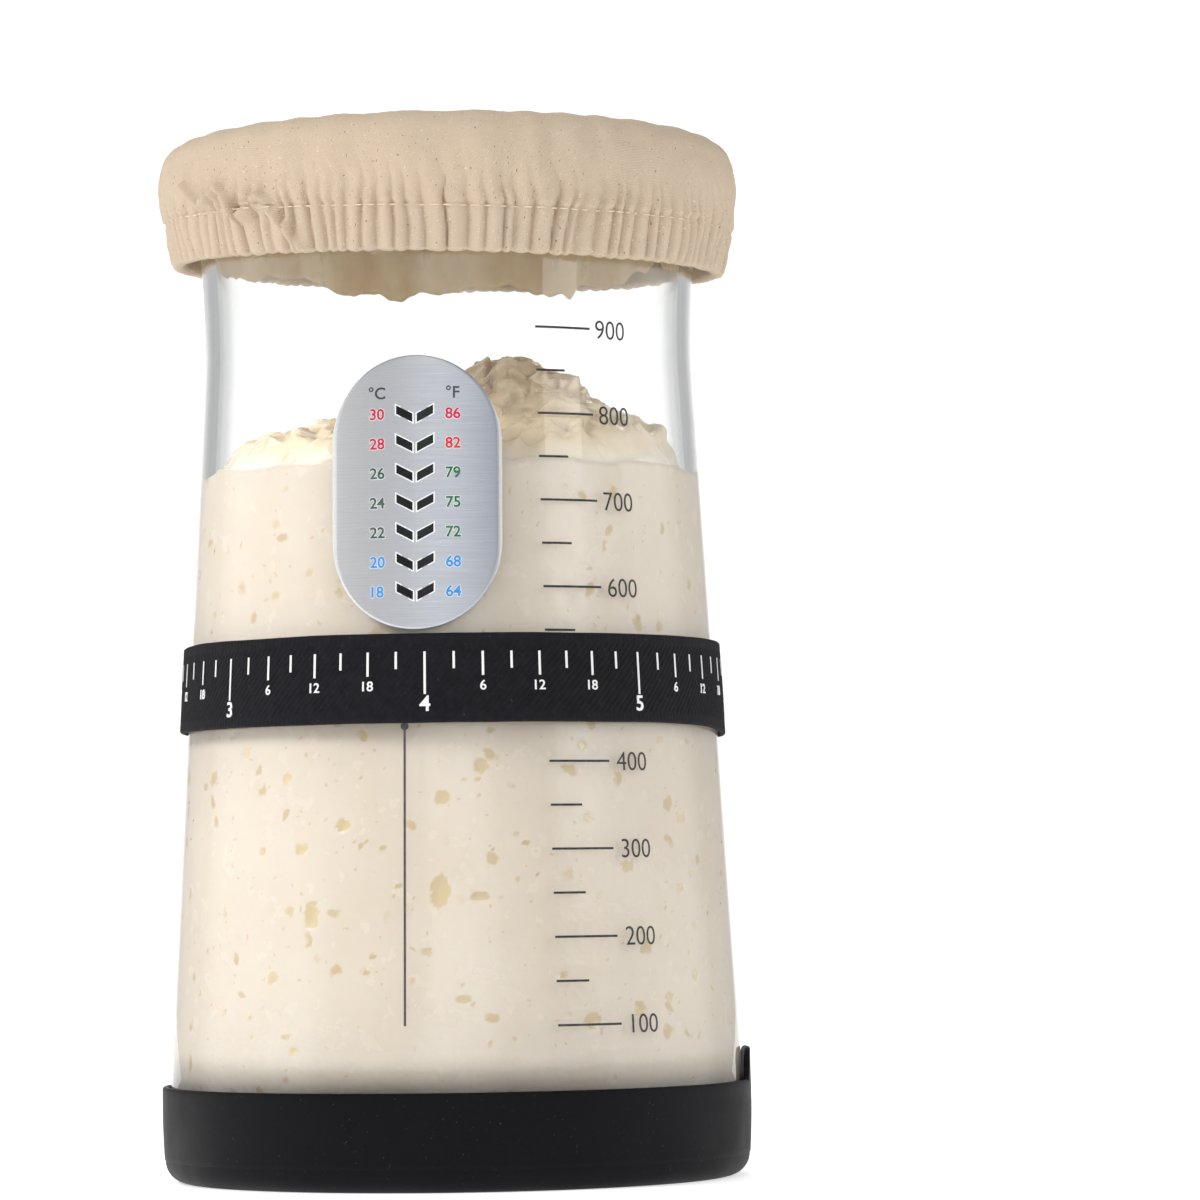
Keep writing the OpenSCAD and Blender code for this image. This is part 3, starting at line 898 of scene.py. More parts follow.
@dataclass(frozen=True)
class DoughMass:
    """The starter: a body along the glass and a torn wet mound on it."""

    line_z: float = 128.0
    joint_z: float = 89.0
    top_z: float = 148.6
    grow: float = 0.07
    seed: int = 7
    ridge_x: tuple[float, ...] = (-45, -40, -33, -26, -19, -11, -3, 2, 5, 7, 10, 13, 16, 21, 26,
                                  31, 37, 41, 45)
    ridge_h: tuple[float, ...] = (0, 2.6, 6.2, 8.2, 9.4, 9.8, 11.5, 12.8, 15.0, 20.4, 21.2, 20.9,
                                  19.6, 17.4, 13.8, 10.8, 7.6, 3.6, 0)
    front_y: float = -41.0
    back_y: float = 38.0
    low_h: float = 3.2
    lump_h: float = 2.6
    fold_h: float = 1.9
    fine_h: float = 0.20
    lean_x: float = 2.8
    lean_y: float = 3.6
    waterline: float = 0.9
    bubble_count: int = 330
    bubble_low_z: float = 23.6
    bubble_reach: float = 1.3
    mean_r: float = 48.0
    pit_shade: float = 3.0
    inner_r: Flat = (20.0, 25.0)
    strand_count: int = 11
    smear_z: float = 166.3
    smear_top: float = 185.0
    drip_azimuth: float = 146.0

    @property
    def wall_r(self) -> float:
        """Return the dough's radius at its line on the glass."""
        return GLASS.bore(self.line_z) + self.grow

    def mound(self, x: float, y: float) -> Point:
        """Give a torn point of the mound's surface.

        Args:
            x: millimetres to the right.
            y: millimetres to the back.

        Returns:
            The moved point.
        """
        edge = smooth(self.wall_r - math.hypot(x, y), 0.0, 3.2)
        wander = 5.0 * rough(x * 0.03, 0.4, 2.0)
        shifted = x + 2.2 * rough(y * 0.09, x * 0.05, 5.0)
        height = float(np.interp(shifted, self.ridge_x, self.ridge_h))
        front = smooth(y, self.front_y, -5.0 + wander)
        back = 1.0 - 0.8 * smooth(y, 6.0 + wander, self.back_y)
        low = self.low_h + 2.0 * rough(x * 0.06, y * 0.06, 1.0)
        body = low + max(0.0, height - low) * front * back
        lumps = self.lump_h * rough(x * 0.10, y * 0.10, 3.0, 2)
        folds = 1.0 - abs(rough(x * 0.19 + 9.0, y * 0.15, 7.0, 2)) * 2.4
        fine = self.fine_h * rough(x * 0.55, y * 0.55, 11.0, 3)
        tear = 0.35 + 0.65 * smooth(body, 2.0, 12.0)
        z = self.line_z + edge * (body + tear * (lumps + self.fold_h * folds - 1.2) + fine)
        lean = edge * tear
        return (x + lean * self.lean_x * rough(x * 0.13, y * 0.13, z * 0.26, 2),
                y + lean * self.lean_y * rough(x * 0.13 + 40.0, y * 0.13, z * 0.26, 2),
                min(self.top_z, z))

    def bubbles(self) -> list[tuple[float, float, float, float, float]]:
        """Scatter the wall's large bubbles, from the fixed seed.

        Returns:
            Azimuth, height, half width, half height and depth of each bubble.
        """
        dice = np.random.default_rng(self.seed)
        found = [(-3.0, 52.0, 1.7, 3.2, 0.4), (-31.0, 48.0, 1.4, 2.8, 0.4),
                 (5.0, 51.0, 1.5, 0.8, 0.4)]
        for _ in range(self.bubble_count):
            wide = 0.4 + 1.3 * float(dice.random()) ** 5
            found.append((float(dice.uniform(-180, 180)), float(dice.uniform(24, 119)), wide,
                          wide * float(dice.uniform(0.5, 1.0)), 0.10 + 0.12 * wide))
        return found

    def pits(self, turn: np.ndarray, height: np.ndarray) -> np.ndarray:
        """Give how deep the bubbles reach into the dough along the glass.

        Args:
            turn: azimuths of the points.
            height: heights of the rows.

        Returns:
            The depth for each row and azimuth.
        """
        depths = np.zeros((len(height), len(turn)))
        for azimuth, z, wide, high, depth in self.bubbles():
            near = np.abs(height - z) < high * self.bubble_reach
            rows = np.nonzero(near & (height > self.bubble_low_z))[0]
            aside = apart(turn, azimuth)
            reach = math.degrees(wide * self.bubble_reach / self.mean_r)
            for j in np.nonzero(np.abs(aside) < reach)[0]:
                for i in rows:
                    across = math.radians(aside[j]) * self.mean_r / wide
                    off = math.hypot(across, (height[i] - z) / high)
                    off += 0.35 * rough(across * 2.0, height[i], azimuth)
                    depths[i, j] += depth * max(0.0, 1.0 - off * off)
        return depths

    def shade(self, depths: np.ndarray) -> np.ndarray:
        """Return the painted shade of the bubbles' pits from their depths, 1 where there is none.
        """
        return 1.0 - np.minimum(1.0, depths * self.pit_shade)

    def wall(self, around: int = 540, steps: int = 118) -> RenderObject:
        """Build the body that fills the glass up to the joint.

        Args:
            around: number of points round the axis.
            steps: number of rings up the wall.

        Returns:
            The object.
        """
        profile = np.array(GLASS.inside(self.joint_z, self.grow, steps))
        rings = np.empty((len(profile) + 2, around, 3))
        turn = evenly(around)
        depths = self.pits(turn, profile[:, 1])
        radius = profile[:, :1] - depths
        rings[:-2, :, 0] = radius * np.sin(np.radians(turn))
        rings[:-2, :, 1] = -radius * np.cos(np.radians(turn))
        rings[:-2, :, 2] = profile[:, 1:]
        rings[-2] = [at(self.inner_r[0], float(a), self.joint_z) for a in turn]
        rings[-1] = (0.0, 0.0, self.joint_z)
        # Painted shade in the bubbles' pits.
        crease = np.ones(rings.shape[:2])
        crease[:-2] = self.shade(depths)
        return skin("dough_body", rings, crease=crease)

    def crown(self, around: int = 480, levels: int = 41, steps: int = 92) -> RenderObject:
        """Build the mound, closed underneath inside the body.

        Args:
            around: number of points round the axis.
            levels: number of rings along the glass.
            steps: number of rings from the glass to the middle.

        Returns:
            The object.
        """
        turn = evenly(around)
        waves = [self.waterline * ring_rough(a, 6, 2.0) for a in turn]
        rows = [[at(r, float(a), self.joint_z - 1.0) for a in turn]
                for r in (0.0, self.inner_r[1])]
        heights = np.linspace(self.joint_z - 0.02, self.line_z - 0.6, levels)
        depths = self.pits(turn, heights)
        for i, height in enumerate(heights):
            ring = []
            for k, (a, wave) in enumerate(zip(turn, waves)):
                z = float(height) + wave * i / (levels - 1)
                ring.append(at(GLASS.bore(z) + self.grow - depths[i, k], float(a), z))
            rows.append(ring)
        room = self.wall_r - 0.05
        for i in range(1, steps + 1):
            r = self.wall_r * (1.0 - i / steps)
            fade = 1.0 - smooth(self.wall_r - r, 0.0, 4.0)
            ring = []
            for a, wave in zip(turn, waves):
                x, y, z = self.mound(*at(r, float(a), 0.0)[:2])
                reach = math.hypot(x, y)
                if reach > room:
                    x, y = x * room / reach, y * room / reach
                ring.append((x, y, z + fade * (wave - 0.6)))
            rows.append(ring)
        rows[-1] = [rows[-1][0]] * around
        # Painted shade in the bubbles' pits along the glass.
        crease = np.ones((len(rows), around))
        crease[2:levels + 2] = self.shade(depths)
        return skin("dough_mound", np.array(rows), crease=crease)

    def strands(self, steps: int = 14, sides: int = 8) -> RenderObject:
        """Build the thin wet strands that hang off the torn mound.

        Args:
            steps: number of steps along a strand.
            sides: number of points round it.

        Returns:
            The object.
        """
        dice = np.random.default_rng(self.seed + 4)
        parts = []
        for index in range(self.strand_count):
            x, y = float(dice.uniform(-6, 34)), float(dice.uniform(-24, -6))
            x_end, y_end = x - float(dice.uniform(3, 9)), y - float(dice.uniform(0, 6))
            start, end = Vector(self.mound(x, y)), Vector(self.mound(x_end, y_end))
            sag = float(dice.uniform(0.6, 2.4))
            width = float(dice.uniform(0.14, 0.36))
            rows = []
            for i in range(steps + 1):
                share = i / steps
                middle = start.lerp(end, share)
                middle.z -= sag * 4 * share * (1 - share) - 0.5 + 0.9 * (1 - share)
                size = width * (0.55 + 1.4 * abs(share - 0.5)) if 0 < i < steps else 0.0
                angles = [k * math.pi / (sides / 2) for k in range(sides)]
                rows.append([(middle.x + size * math.cos(angle), middle.y,
                              middle.z + size * math.sin(angle)) for angle in angles])
            parts.append(skin(f"strand_{index}", np.array(rows)))
        return join("dough_strands", parts)

    def smear(self, around: int = 720, steps: int = 22) -> RenderObject:
        """Build the dried smear inside the mouth, with its ragged edge and a drip.

        Args:
            around: number of points round the axis.
            steps: number of steps up each side.

        Returns:
            The object.
        """
        turn = [k * FULL_TURN / around for k in range(around)]
        edges = []
        for a in turn:
            edge = self.smear_z + 3.6 * ring_rough(a, 2.6, 1.0, 2) + 1.5 * ring_rough(a, 6, 4.0, 3)
            near = abs(apart(a, self.drip_azimuth))
            edges.append(edge - 2.2 * bell(near, 2.0) - 1.2 * bell(near, 8))
        rows = []
        for outside in (True, False):
            for i in (range(steps + 1) if outside else range(steps, -1, -1)):
                ring = []
                for a, edge in zip(turn, edges):
                    z = edge + (self.smear_top - edge) * i / steps
                    thick = 0.16 + 0.14 * ring_rough(a, 9, z * 0.22, 4)
                    thick *= min(1.0, 0.25 + i * 0.6)
                    ring.append(at(GLASS.bore(z) + (self.grow if outside else -thick), a, z))
                rows.append(ring)
        return skin("dough_smear", np.array(rows), torus=True)

    def build(self, finish: Starter, film: DriedFilm) -> None:
        """Build and dress the dough and its dried smear.

        Args:
            finish: the dough's finish.
            film: the smear's finish.
        """
        material = finish.make()
        dress(self.wall(), Body.JAR, material, ["starter_dough"])
        dress(self.crown(), Body.JAR, material, ["starter_dough"])
        dress(self.strands(), Body.JAR, material)
        dress(self.smear(), Body.JAR, film.make(), ["dough_residue"])


def on_cone(azimuth: float, middle_z: float, lift: float = 0.0) -> Placer:
    """Give the placer of a flat drawing on the glass.

    Args:
        azimuth: azimuth of the drawing's middle.
        middle_z: height of its middle.
        lift: distance of its plane from the glass.

    Returns:
        A function from the drawing's x, y and height to a point.
    """
    def put(x: float, y: float, out: float) -> Point:
        """Place a point of the drawing.

        Args:
            x: distance to the right.
            y: distance upwards.
            out: distance from the drawing's plane.

        Returns:
            The point on the glass.
        """
        z = middle_z + y
        radius = GLASS.outer(z) + lift + out
        return at(radius, azimuth + math.degrees(x / GLASS.outer(z)), z)
    return put


@dataclass(frozen=True)
class Print:
    """How figures are printed: their height, boldness, and lift of back and front."""

    height: float
    bold: float = 0.0
    low: float = -0.05
    high: float = 0.05
    figure_share: float = 0.69

    def glyphs(self, text: str) -> bpy.types.Mesh:
        """Make the flat mesh of a text, its middle at the origin, one unit thick.

        Args:
            text: the characters.

        Returns:
            The mesh.
        """
        curve = bpy.data.curves.new("text", "FONT")
        curve.body, curve.align_x, curve.align_y = text, "CENTER", "CENTER"
        curve.offset, curve.extrude, curve.resolution_u = self.bold, 0.5, 5
        mesh = to_mesh(link("text", curve))
        points = np.empty(len(mesh.vertices) * 3)
        mesh.vertices.foreach_get("co", points)
        points = points.reshape(-1, 3)
        middle = (points.min(axis=0) + points.max(axis=0)) / 2
        points[:, :2] = (points[:, :2] - middle[:2]) * self.height / self.figure_share
        mesh.vertices.foreach_set("co", points.reshape(-1))
        return mesh

    def lay(self, name: str, texts: Sequence[tuple[str, float, float]], put: Placer,
            lift: float = 0.0) -> RenderObject:
        """Lay short texts on a curved face as one thin closed mesh.

        Args:
            name: name of the object.
            texts: each text with the x and y of its middle.
            put: placer of the face.
            lift: distance of the face from the placer's plane.

        Returns:
            The object.
        """
        work = bmesh.new()
        for text, x, y in texts:
            mesh = self.glyphs(text)
            for vertex in mesh.vertices:
                px, py, pz = vertex.co
                out = lift + (self.low if pz < 0 else self.high)
                vertex.co = Vector(put(x + px, y + py, out)) * MM
            work.from_mesh(mesh)
        bmesh.ops.remove_doubles(work, verts=work.verts, dist=2 * MERGE)
        mesh = bpy.data.meshes.new(name)
        settle(mesh, work)
        return link(name, mesh)


def pads(name: str, outlines: Sequence[Sequence[Flat]], put: Placer,
         low: float, high: float) -> RenderObject:
    """Raise thin pads with the given outlines on a curved face.

    Args:
        name: name of the object.
        outlines: outline of each pad.
        put: placer of the face.
        low: lift of the pads' back.
        high: lift of their front.

    Returns:
        The object.
    """
    points: list[Vector] = []
    faces: list[tuple[int, ...]] = []
    for outline in outlines:
        start, count = len(points), len(outline)
        for lift in (low, high):
            points += [Vector(put(x, y, lift)) * MM for x, y in outline]
        faces.append(tuple(start + i for i in reversed(range(count))))
        faces.append(tuple(start + count + i for i in range(count)))
        for i in range(count):
            j = (i + 1) % count
            faces.append((start + i, start + j, start + count + j, start + count + i))
    mesh = bpy.data.meshes.new(name)
    mesh.from_pydata(points, [], faces)
    work = bmesh.new()
    work.from_mesh(mesh)
    settle(mesh, work)
    return link(name, mesh)


@dataclass(frozen=True)
class PrintedMarks:
    """The volume figures and the CAD's printed lines."""

    first_z: float = 28.5
    step_z: float = 15.27
    azimuth: float = 40.0
    figures: int = 9
    font: Print = Print(3.3, -0.006, 0.01, 0.06)

    def build(self, dark: Ink, grey: Ink) -> None:
        """Build and dress the printed marks.

        Args:
            dark: ink of the figures and volume lines.
            grey: ink of the feeding line.
        """
        material = dark.make()
        texts = [(str(100 * (i + 1)), 0.0, i * self.step_z) for i in range(self.figures)]
        numbers = self.font.lay("volume_figures", texts, on_cone(self.azimuth, self.first_z))
        dress(numbers, Body.JAR, material)
        paint("volume_scale", material)
        paint("fed_line", grey.make())


@dataclass(frozen=True)
class FigureColour:
    """Ink of some of the strip's figures, by their rows at the left and the right."""

    name: str
    colour: Colour
    left: tuple[int, ...] = ()
    right: tuple[int, ...] = ()


@dataclass(frozen=True)
class Thermometer:
    """The stuck-on strip: bevelled silver face, dark cells and printed scales."""

    width: float = 29.2
    height: float = 48.3
    glue: float = 0.2
    metal: float = 0.5
    land: float = 0.14
    bevel: float = 0.55
    azimuth: float = -7.6
    middle_z: float = 121.45
    row_z: float = 135.25
    row_gap: float = 5.2
    cell_w: float = 2.8
    cell_h: float = 1.5
    cell_gap: float = 0.8
    cell_rim: float = 0.24
    cell_sunk: float = 0.1
    slope: float = 28.0
    scale_x: float = 6.6
    left: tuple[str, ...] = ("30", "28", "26", "24", "22", "20", "18")
    right: tuple[str, ...] = ("86", "82", "79", "75", "72", "68", "64")
    figures: Print = Print(1.85, 0.022)
    halo: Print = Print(1.85, 0.055, high=0.02)
    units: Print = Print(2.0, 0.012, high=0.04)
    inks: tuple[FigureColour, ...] = (
        FigureColour("crimson", (0.50, 0.008, 0.05), (0, 1), (0,)),
        FigureColour("red", (0.62, 0.008, 0.02), (), (1,)),
        FigureColour("grey_green", (0.04, 0.085, 0.06), (2, 3, 4)),
        FigureColour("green", (0.004, 0.13, 0.04), (), (2, 3, 4)),
        FigureColour("light_blue", (0.03, 0.26, 0.68), (5, 6), (5, 6)),
    )
    white: Ink = Ink("print_white", (0.86, 0.87, 0.88))
    grey: Ink = Ink("print_grey", (0.03, 0.032, 0.036))

    @property
    def top(self) -> float:
        """Return the face's distance from the glass."""
        return self.glue + self.metal

    @property
    def start(self) -> float:
        """Return the first row's height above the strip's middle."""
        return self.row_z - self.middle_z

    def ring(self, inset: float, lift: float, put: Placer) -> list[Point]:
        """Return the strip's outline, moved in and lifted.

        Args:
            inset: distance from the outline.
            lift: distance from the glass.
            put: placer on the glass.

        Returns:
            The ring's points.
        """
        radius = self.width / 2 - inset
        straight = (self.height - self.width) / 2
        bend, side = 72, 24
        points = []
        for half in (1, -1):
            for i in range(bend):
                angle = math.radians(i * 180.0 / bend)
                points.append((half * radius * math.cos(angle),
                               half * (straight + radius * math.sin(angle))))
            for i in range(side):
                points.append((-half * radius, half * straight * (1.0 - i / (side / 2))))
        return [put(x, y, lift) for x, y in points]

    def plate(self, put: Placer) -> RenderObject:
        """Build the bevelled face.

        Args:
            put: placer on the glass.

        Returns:
            The object.
        """
        half = self.width / 2
        levels = [(half, self.glue), (8.0, self.glue), (0.0, self.glue), (0.0, self.glue + 0.12)]
        for i in range(6):
            angle = math.radians(i * 18.0)
            levels.append((self.bevel * (1 - math.cos(angle)),
                           self.top - (self.metal - self.land) * (1 - math.sin(angle))))
        levels += [(inset, self.top) for inset in (0.6, 0.9, 2.0, 4.0, 6.0, 8.0, 10.0, 12.0,
                                                   14.0, half)]
        return skin("strip_plate", np.array([self.ring(*level, put) for level in levels]))

    def outlines(self, grow: float) -> list[list[Flat]]:
        """Give the cells' slanted outlines, grown by a margin.

        Args:
            grow: the margin.

        Returns:
            The outlines on the drawing.
        """
        found = []
        fall = math.tan(math.radians(self.slope))
        near, far = self.cell_gap / 2 - grow, self.cell_gap / 2 + self.cell_w + grow
        middle = (near + far) / 2
        corners = ((near, -1), (far, -1), (far, 1), (near, 1))
        for row in range(len(self.left)):
            y = self.start - row * self.row_gap
            for side in (-1, 1):
                found.append([(side * x, y + (x - middle) * fall + up * (self.cell_h / 2 + grow))
                              for x, up in corners])
        return found

    def build(self, face: BrushedStrip, cell: CrystalCell, glue: Ink) -> None:
        """Build and dress the strip.

        Args:
            face: finish of the metal.
            cell: finish of the cells.
            glue: finish of the adhesive.
        """
        put = on_cone(self.azimuth, self.middle_z)
        low = self.top - self.cell_sunk
        dress(self.plate(put), Body.JAR, face.make(), ["thermometer_plate"])
        edge = pads("strip_outlines", self.outlines(self.cell_rim), put, low, self.top + 0.025)
        white = self.white.make()
        dress(edge, Body.JAR, white)
        dark = pads("strip_cells", self.outlines(0.0), put, low, self.top + 0.05)
        dress(dark, Body.JAR, cell.make(), ["thermometer_cells"])
        paint("thermometer_adhesive", glue.make())
        every = []
        for ink in self.inks:
            texts = [(self.left[i], -self.scale_x, self.start - i * self.row_gap)
                     for i in ink.left]
            texts += [(self.right[i], self.scale_x, self.start - i * self.row_gap)
                      for i in ink.right]
            every += texts
            numbers = self.figures.lay("strip_" + ink.name, texts, put, self.top)
            dress(numbers, Body.JAR, Ink("print_" + ink.name, ink.colour).make())
        halo = self.halo.lay("strip_halo", every, put, self.top)
        dress(halo, Body.JAR, white)
        units_y = self.height / 2 - self.scale_x
        units = [("°C", -self.scale_x, units_y), ("°F", self.scale_x, units_y)]
        letters = self.units.lay("strip_units", units, put, self.top)
        dress(letters, Body.JAR, self.grey.make())


class StitchInput(Enum):
    """Named inputs of the stitch tree."""

    PITCH = "Pitch"
    LENGTH = "Stitch Length"
    WIDTH = "Stitch Width"


@dataclass(frozen=True)
class Stitching:
    """A row of thread stitches laid along paths with Geometry Nodes."""

    pitch: float
    length: float
    width: float

    def tree(self, material: Material) -> bpy.types.NodeTree:
        """Build the node tree.

        Args:
            material: the thread's material.

        Returns:
            The tree.
        """
        tree = bpy.data.node_groups.new("stitches", "GeometryNodeTree")
        face = tree.interface
        face.new_socket("Geometry", in_out="INPUT", socket_type="NodeSocketGeometry")
        for entry in StitchInput:
            face.new_socket(entry.value, in_out="INPUT", socket_type="NodeSocketFloat")
        face.new_socket("Geometry", in_out="OUTPUT", socket_type="NodeSocketGeometry")
        given, curve, spaced, tangent, aim, ball, size, laid, real, coat, out = (
            tree.nodes.new(kind) for kind in (
                "NodeGroupInput", "GeometryNodeMeshToCurve", "GeometryNodeResampleCurve",
                "GeometryNodeInputTangent", "FunctionNodeAlignRotationToVector",
                "GeometryNodeMeshIcoSphere", "ShaderNodeCombineXYZ",
                "GeometryNodeInstanceOnPoints", "GeometryNodeRealizeInstances",
                "GeometryNodeSetMaterial", "NodeGroupOutput"))
        spaced.mode, aim.axis = "LENGTH", "X"
        ball.inputs["Subdivisions"].default_value = 2
        ball.inputs["Radius"].default_value = 0.5
        coat.inputs["Material"].default_value = material
        for source, result, target, entry in (
                (given, "Geometry", curve, "Mesh"),
                (curve, "Curve", spaced, "Curve"),
                (given, StitchInput.PITCH.value, spaced, "Length"),
                (tangent, "Tangent", aim, "Vector"),
                (given, StitchInput.LENGTH.value, size, "X"),
                (given, StitchInput.WIDTH.value, size, "Y"),
                (given, StitchInput.WIDTH.value, size, "Z"),
                (spaced, "Curve", laid, "Points"),
                (ball, "Mesh", laid, "Instance"),
                (aim, "Rotation", laid, "Rotation"),
                (size, "Vector", laid, "Scale"),
                (laid, "Instances", real, "Geometry"),
                (real, "Geometry", coat, "Geometry"),
                (coat, "Geometry", out, "Geometry")):
            tree.links.new(source.outputs[result], target.inputs[entry])
        return tree

    def sew(self, name: str, paths: Sequence[Sequence[Point]], material: Material) -> RenderObject:
        """Lay the stitches along paths.

        Args:
            name: name of the object.
            paths: points of each path.
            material: the thread's material.

        Returns:
            The object, a plain mesh.
        """
        points: list[Vector] = []
        edges: list[tuple[int, int]] = []
        for path in paths:
            start = len(points)
            points += [Vector(p) * MM for p in path]
            edges += [(start + i, start + i + 1) for i in range(len(path) - 1)]
        mesh = bpy.data.meshes.new(name + "_path")
        mesh.from_pydata(points, edges, [])
        source = link(name + "_path", mesh)
        nodes = source.modifiers.new("stitches", "NODES")
        nodes.node_group = self.tree(material)
        values = {StitchInput.PITCH.value: self.pitch, StitchInput.LENGTH.value: self.length,
                  StitchInput.WIDTH.value: self.width}
        for item in nodes.node_group.interface.items_tree:
            if item.name in values:
                nodes[item.identifier] = values[item.name] * MM
        made = to_mesh(source)
        made.polygons.foreach_set("use_smooth", [True] * len(made.polygons))
        return link(name, made)


@dataclass(frozen=True)
class BandFigures:
    """One row of the band's figures."""

    name: str
    z: float
    font: Print


@dataclass(frozen=True)
class FeedingBand:
    """The webbing loop with its twill, selvedges, lap, stitches and figures."""

    low_z: float = 81.2
    width: float = 15.5
    thick: float = 1.2
    gap: float = 0.3
    mean_r: float = 50.0
    rib: float = 1.25
    rib_depth: float = 0.20
    rib_lean: float = 0.9
    edge: float = 1.5
    edge_rib: float = 0.95
    edge_depth: float = 0.07
    round_r: float = 0.35
    droop: float = 1.5
    droop_azimuth: float = 96.0
    droop_width: float = 24.0
    lap_azimuth: float = 174.4
    lap_w: float = 9.0
    seam_x: float = 3.2
    seam_r: float = 51.0
    seam_lift: float = 1.22
    day_angle: float = 47.1
    middle_azimuth: float = -5.6
    hours: BandFigures = BandFigures("band_hours", 87.6, Print(1.65, 0.012, -0.15, 0.06))
    days: BandFigures = BandFigures("band_days", 84.5, Print(2.6, 0.016, -0.15, 0.06))
    thread: Ink = Ink("thread_black", (0.03, 0.03, 0.033), 0.7)
    stitches: Stitching = Stitching(1.9, 1.5, 0.36)

    def outer(self, z: float) -> float:
        """Return the radius of the band's face at a height."""
        return GLASS.outer(z) + self.gap + self.thick

    def face(self, azimuth: float, share: float) -> Flat:
        """Give how deep the weave lies and how far it hangs at a point.

        Args:
            azimuth: degrees from the front.
            share: height on the band, from 0 at its lower edge to 1.

        Returns:
            The depth and the drop.
        """
        along = math.radians(azimuth) * self.mean_r
        z = share * self.width
        to_edge = min(z, self.width - z)
        if to_edge < self.edge:
            ridge = 0.5 - 0.5 * math.cos(2 * math.pi * along / self.edge_rib)
            depth = self.edge_depth * ridge
        else:
            phase = (along - z * self.rib_lean) / self.rib
            phase += 0.10 * rough(along * 0.5, z * 0.5, 2.0, 2)
            wave = 0.5 - 0.5 * math.cos(2 * math.pi * phase)
            depth = self.rib_depth * wave ** 1.4 * smooth(to_edge, self.edge, self.edge + 0.5)
            depth += 0.05 * bell(to_edge - self.edge, 0.25)
        aside = apart(azimuth, self.droop_azimuth)
        sag = self.droop * bell(aside, self.droop_width) * (1.0 - smooth(share, 0.0, 0.55))
        sag += 0.10 * rough(along * 0.06, share, 5.0, 2)
        return depth, sag

    def loop(self, around: int = 1200, rows: int = 54) -> RenderObject:
        """Build the woven loop.

        Args:
            around: number of points round the axis.
            rows: number of steps up the face.

        Returns:
            The object.
        """
        turn = [k * FULL_TURN / around for k in range(around)]
        rings = []
        for share in (i / rows for i in range(rows + 1)):
            edge = min(share, 1 - share) * self.width
            rounded = self.round_r * max(0.0, 1.0 - edge / self.round_r) ** 2
            z = self.low_z + share * self.width
            ring = []
            for azimuth in turn:
                depth, sag = self.face(azimuth, share)
                ring.append(at(self.outer(z) - depth - rounded, azimuth, z - sag))
            rings.append(ring)
        for share, depth in ((1.004, 0.6), (1.0, 0.9), (0.96, 1.2), (0.5, 1.2), (0.04, 1.2),
                             (0.0, 0.9), (-0.004, 0.6)):
            z = self.low_z + share * self.width
            held = min(1, max(0, share))
            rings.append([at(self.outer(z) - depth, azimuth, z - self.face(azimuth, held)[1])
                          for azimuth in turn])
        return skin("band_webbing", np.array(rings), torus=True)

    def lap(self) -> RenderObject:
        """Build the sewn lap, a second layer at the back.

        Returns:
            The object.
        """
        half = self.lap_w / 2
        section = ((0.01, 0.0), (0.0, 0.7), (0.03, 1.1), (0.1, 1.2), (0.5, 1.2), (0.9, 1.2),
                   (0.97, 1.1), (1.0, 0.7), (0.99, 0.0), (0.5, -0.05))
        ends = [half, half, half - 0.15, half - 0.4]
        stops = [-x for x in ends] + list(np.linspace(1 - half, half - 1, 30)) + ends[::-1]
        rows = []
        for index, x in enumerate(stops):
            azimuth = self.lap_azimuth + math.degrees(x / self.mean_r)
            inset = max(0.0, 1.0 - (half - abs(x)) / 0.4)
            ring = []
            for share, lift in section:
                if index in (0, len(stops) - 1):
                    share, lift = 0.5, 0.4
                share = 0.5 + (share - 0.5) * (1.0 - 0.03 * inset)
                weave = 0.0 if lift < 1.0 else self.face(azimuth * 1.003, share)[0]
                z = self.low_z + share * self.width
                ring.append(at(self.outer(z) + lift * (1 - 0.35 * inset) - weave, azimuth, z))
            rows.append(ring)
        return skin("band_lap", np.array(rows))

    def seams(self) -> list[list[Point]]:
        """Return the paths of the lap's two seams."""
        heights = np.linspace(self.low_z + 0.8, self.low_z + 14.7, 20)
        return [[at(self.outer(z) + self.seam_lift,
                    self.lap_azimuth + math.degrees(x / self.seam_r), z) for z in heights]
                for x in (-self.seam_x, self.seam_x)]

    def build(self, cloth: Webbing, ink: Ink) -> None:
        """Build and dress the band.

        Args:
            cloth: the webbing's finish.
            ink: the white ink.
        """
        material, white = cloth.make(), ink.make()
        dress(self.loop(), Body.BAND, material, ["feeding_band"])
        dress(self.lap(), Body.BAND, material, ["feeding_band"])
        thread = self.thread.make()
        stitches = self.stitches.sew("band_stitches", self.seams(), thread)
        dress(stitches, Body.BAND, thread)
        hours, days = [], []
        for day in range(-3, 4):
            start = self.middle_azimuth + day * self.day_angle
            days.append((str(day + 4), start))
            if day < 3:
                hours += [(str(6 * q), start + q * self.day_angle / 4) for q in (1, 2, 3)]
        for row, marks in ((self.hours, hours), (self.days, days)):
            parts = [row.font.lay(f"{row.name}_{i}", [(text, 0.0, 0.0)],
                                  on_cone(azimuth, row.z, self.gap + self.thick))
                     for i, (text, azimuth) in enumerate(marks)]
            dress(join(row.name, parts), Body.BAND, white)
        paint("band_ticks", white)


@dataclass(frozen=True)
class Line:
    """One line of the cloth from its middle to the hem, and the pleats beside it."""

    index: int
    azimuth: float
    crest: float
    power: float
    soft: float
    crests: np.ndarray
    powers: np.ndarray

    def bent(self, share: float) -> Flat:
        """Give the pleat's height and strength where it leans on its way down.

        Args:
            share: way down the skirt, past 1 on the casing.

        Returns:
            The height and the strength.
        """
        place = self.index + 9.0 * ring_rough(self.azimuth, 2.5, share * 1.1, 2) * (1.4 - share)
        low, part = math.floor(place), place - math.floor(place)
        first, second = low % len(self.crests), (low + 1) % len(self.crests)
        return (self.crests[first] * (1 - part) + self.crests[second] * part,
                self.powers[first] * (1 - part) + self.powers[second] * part)


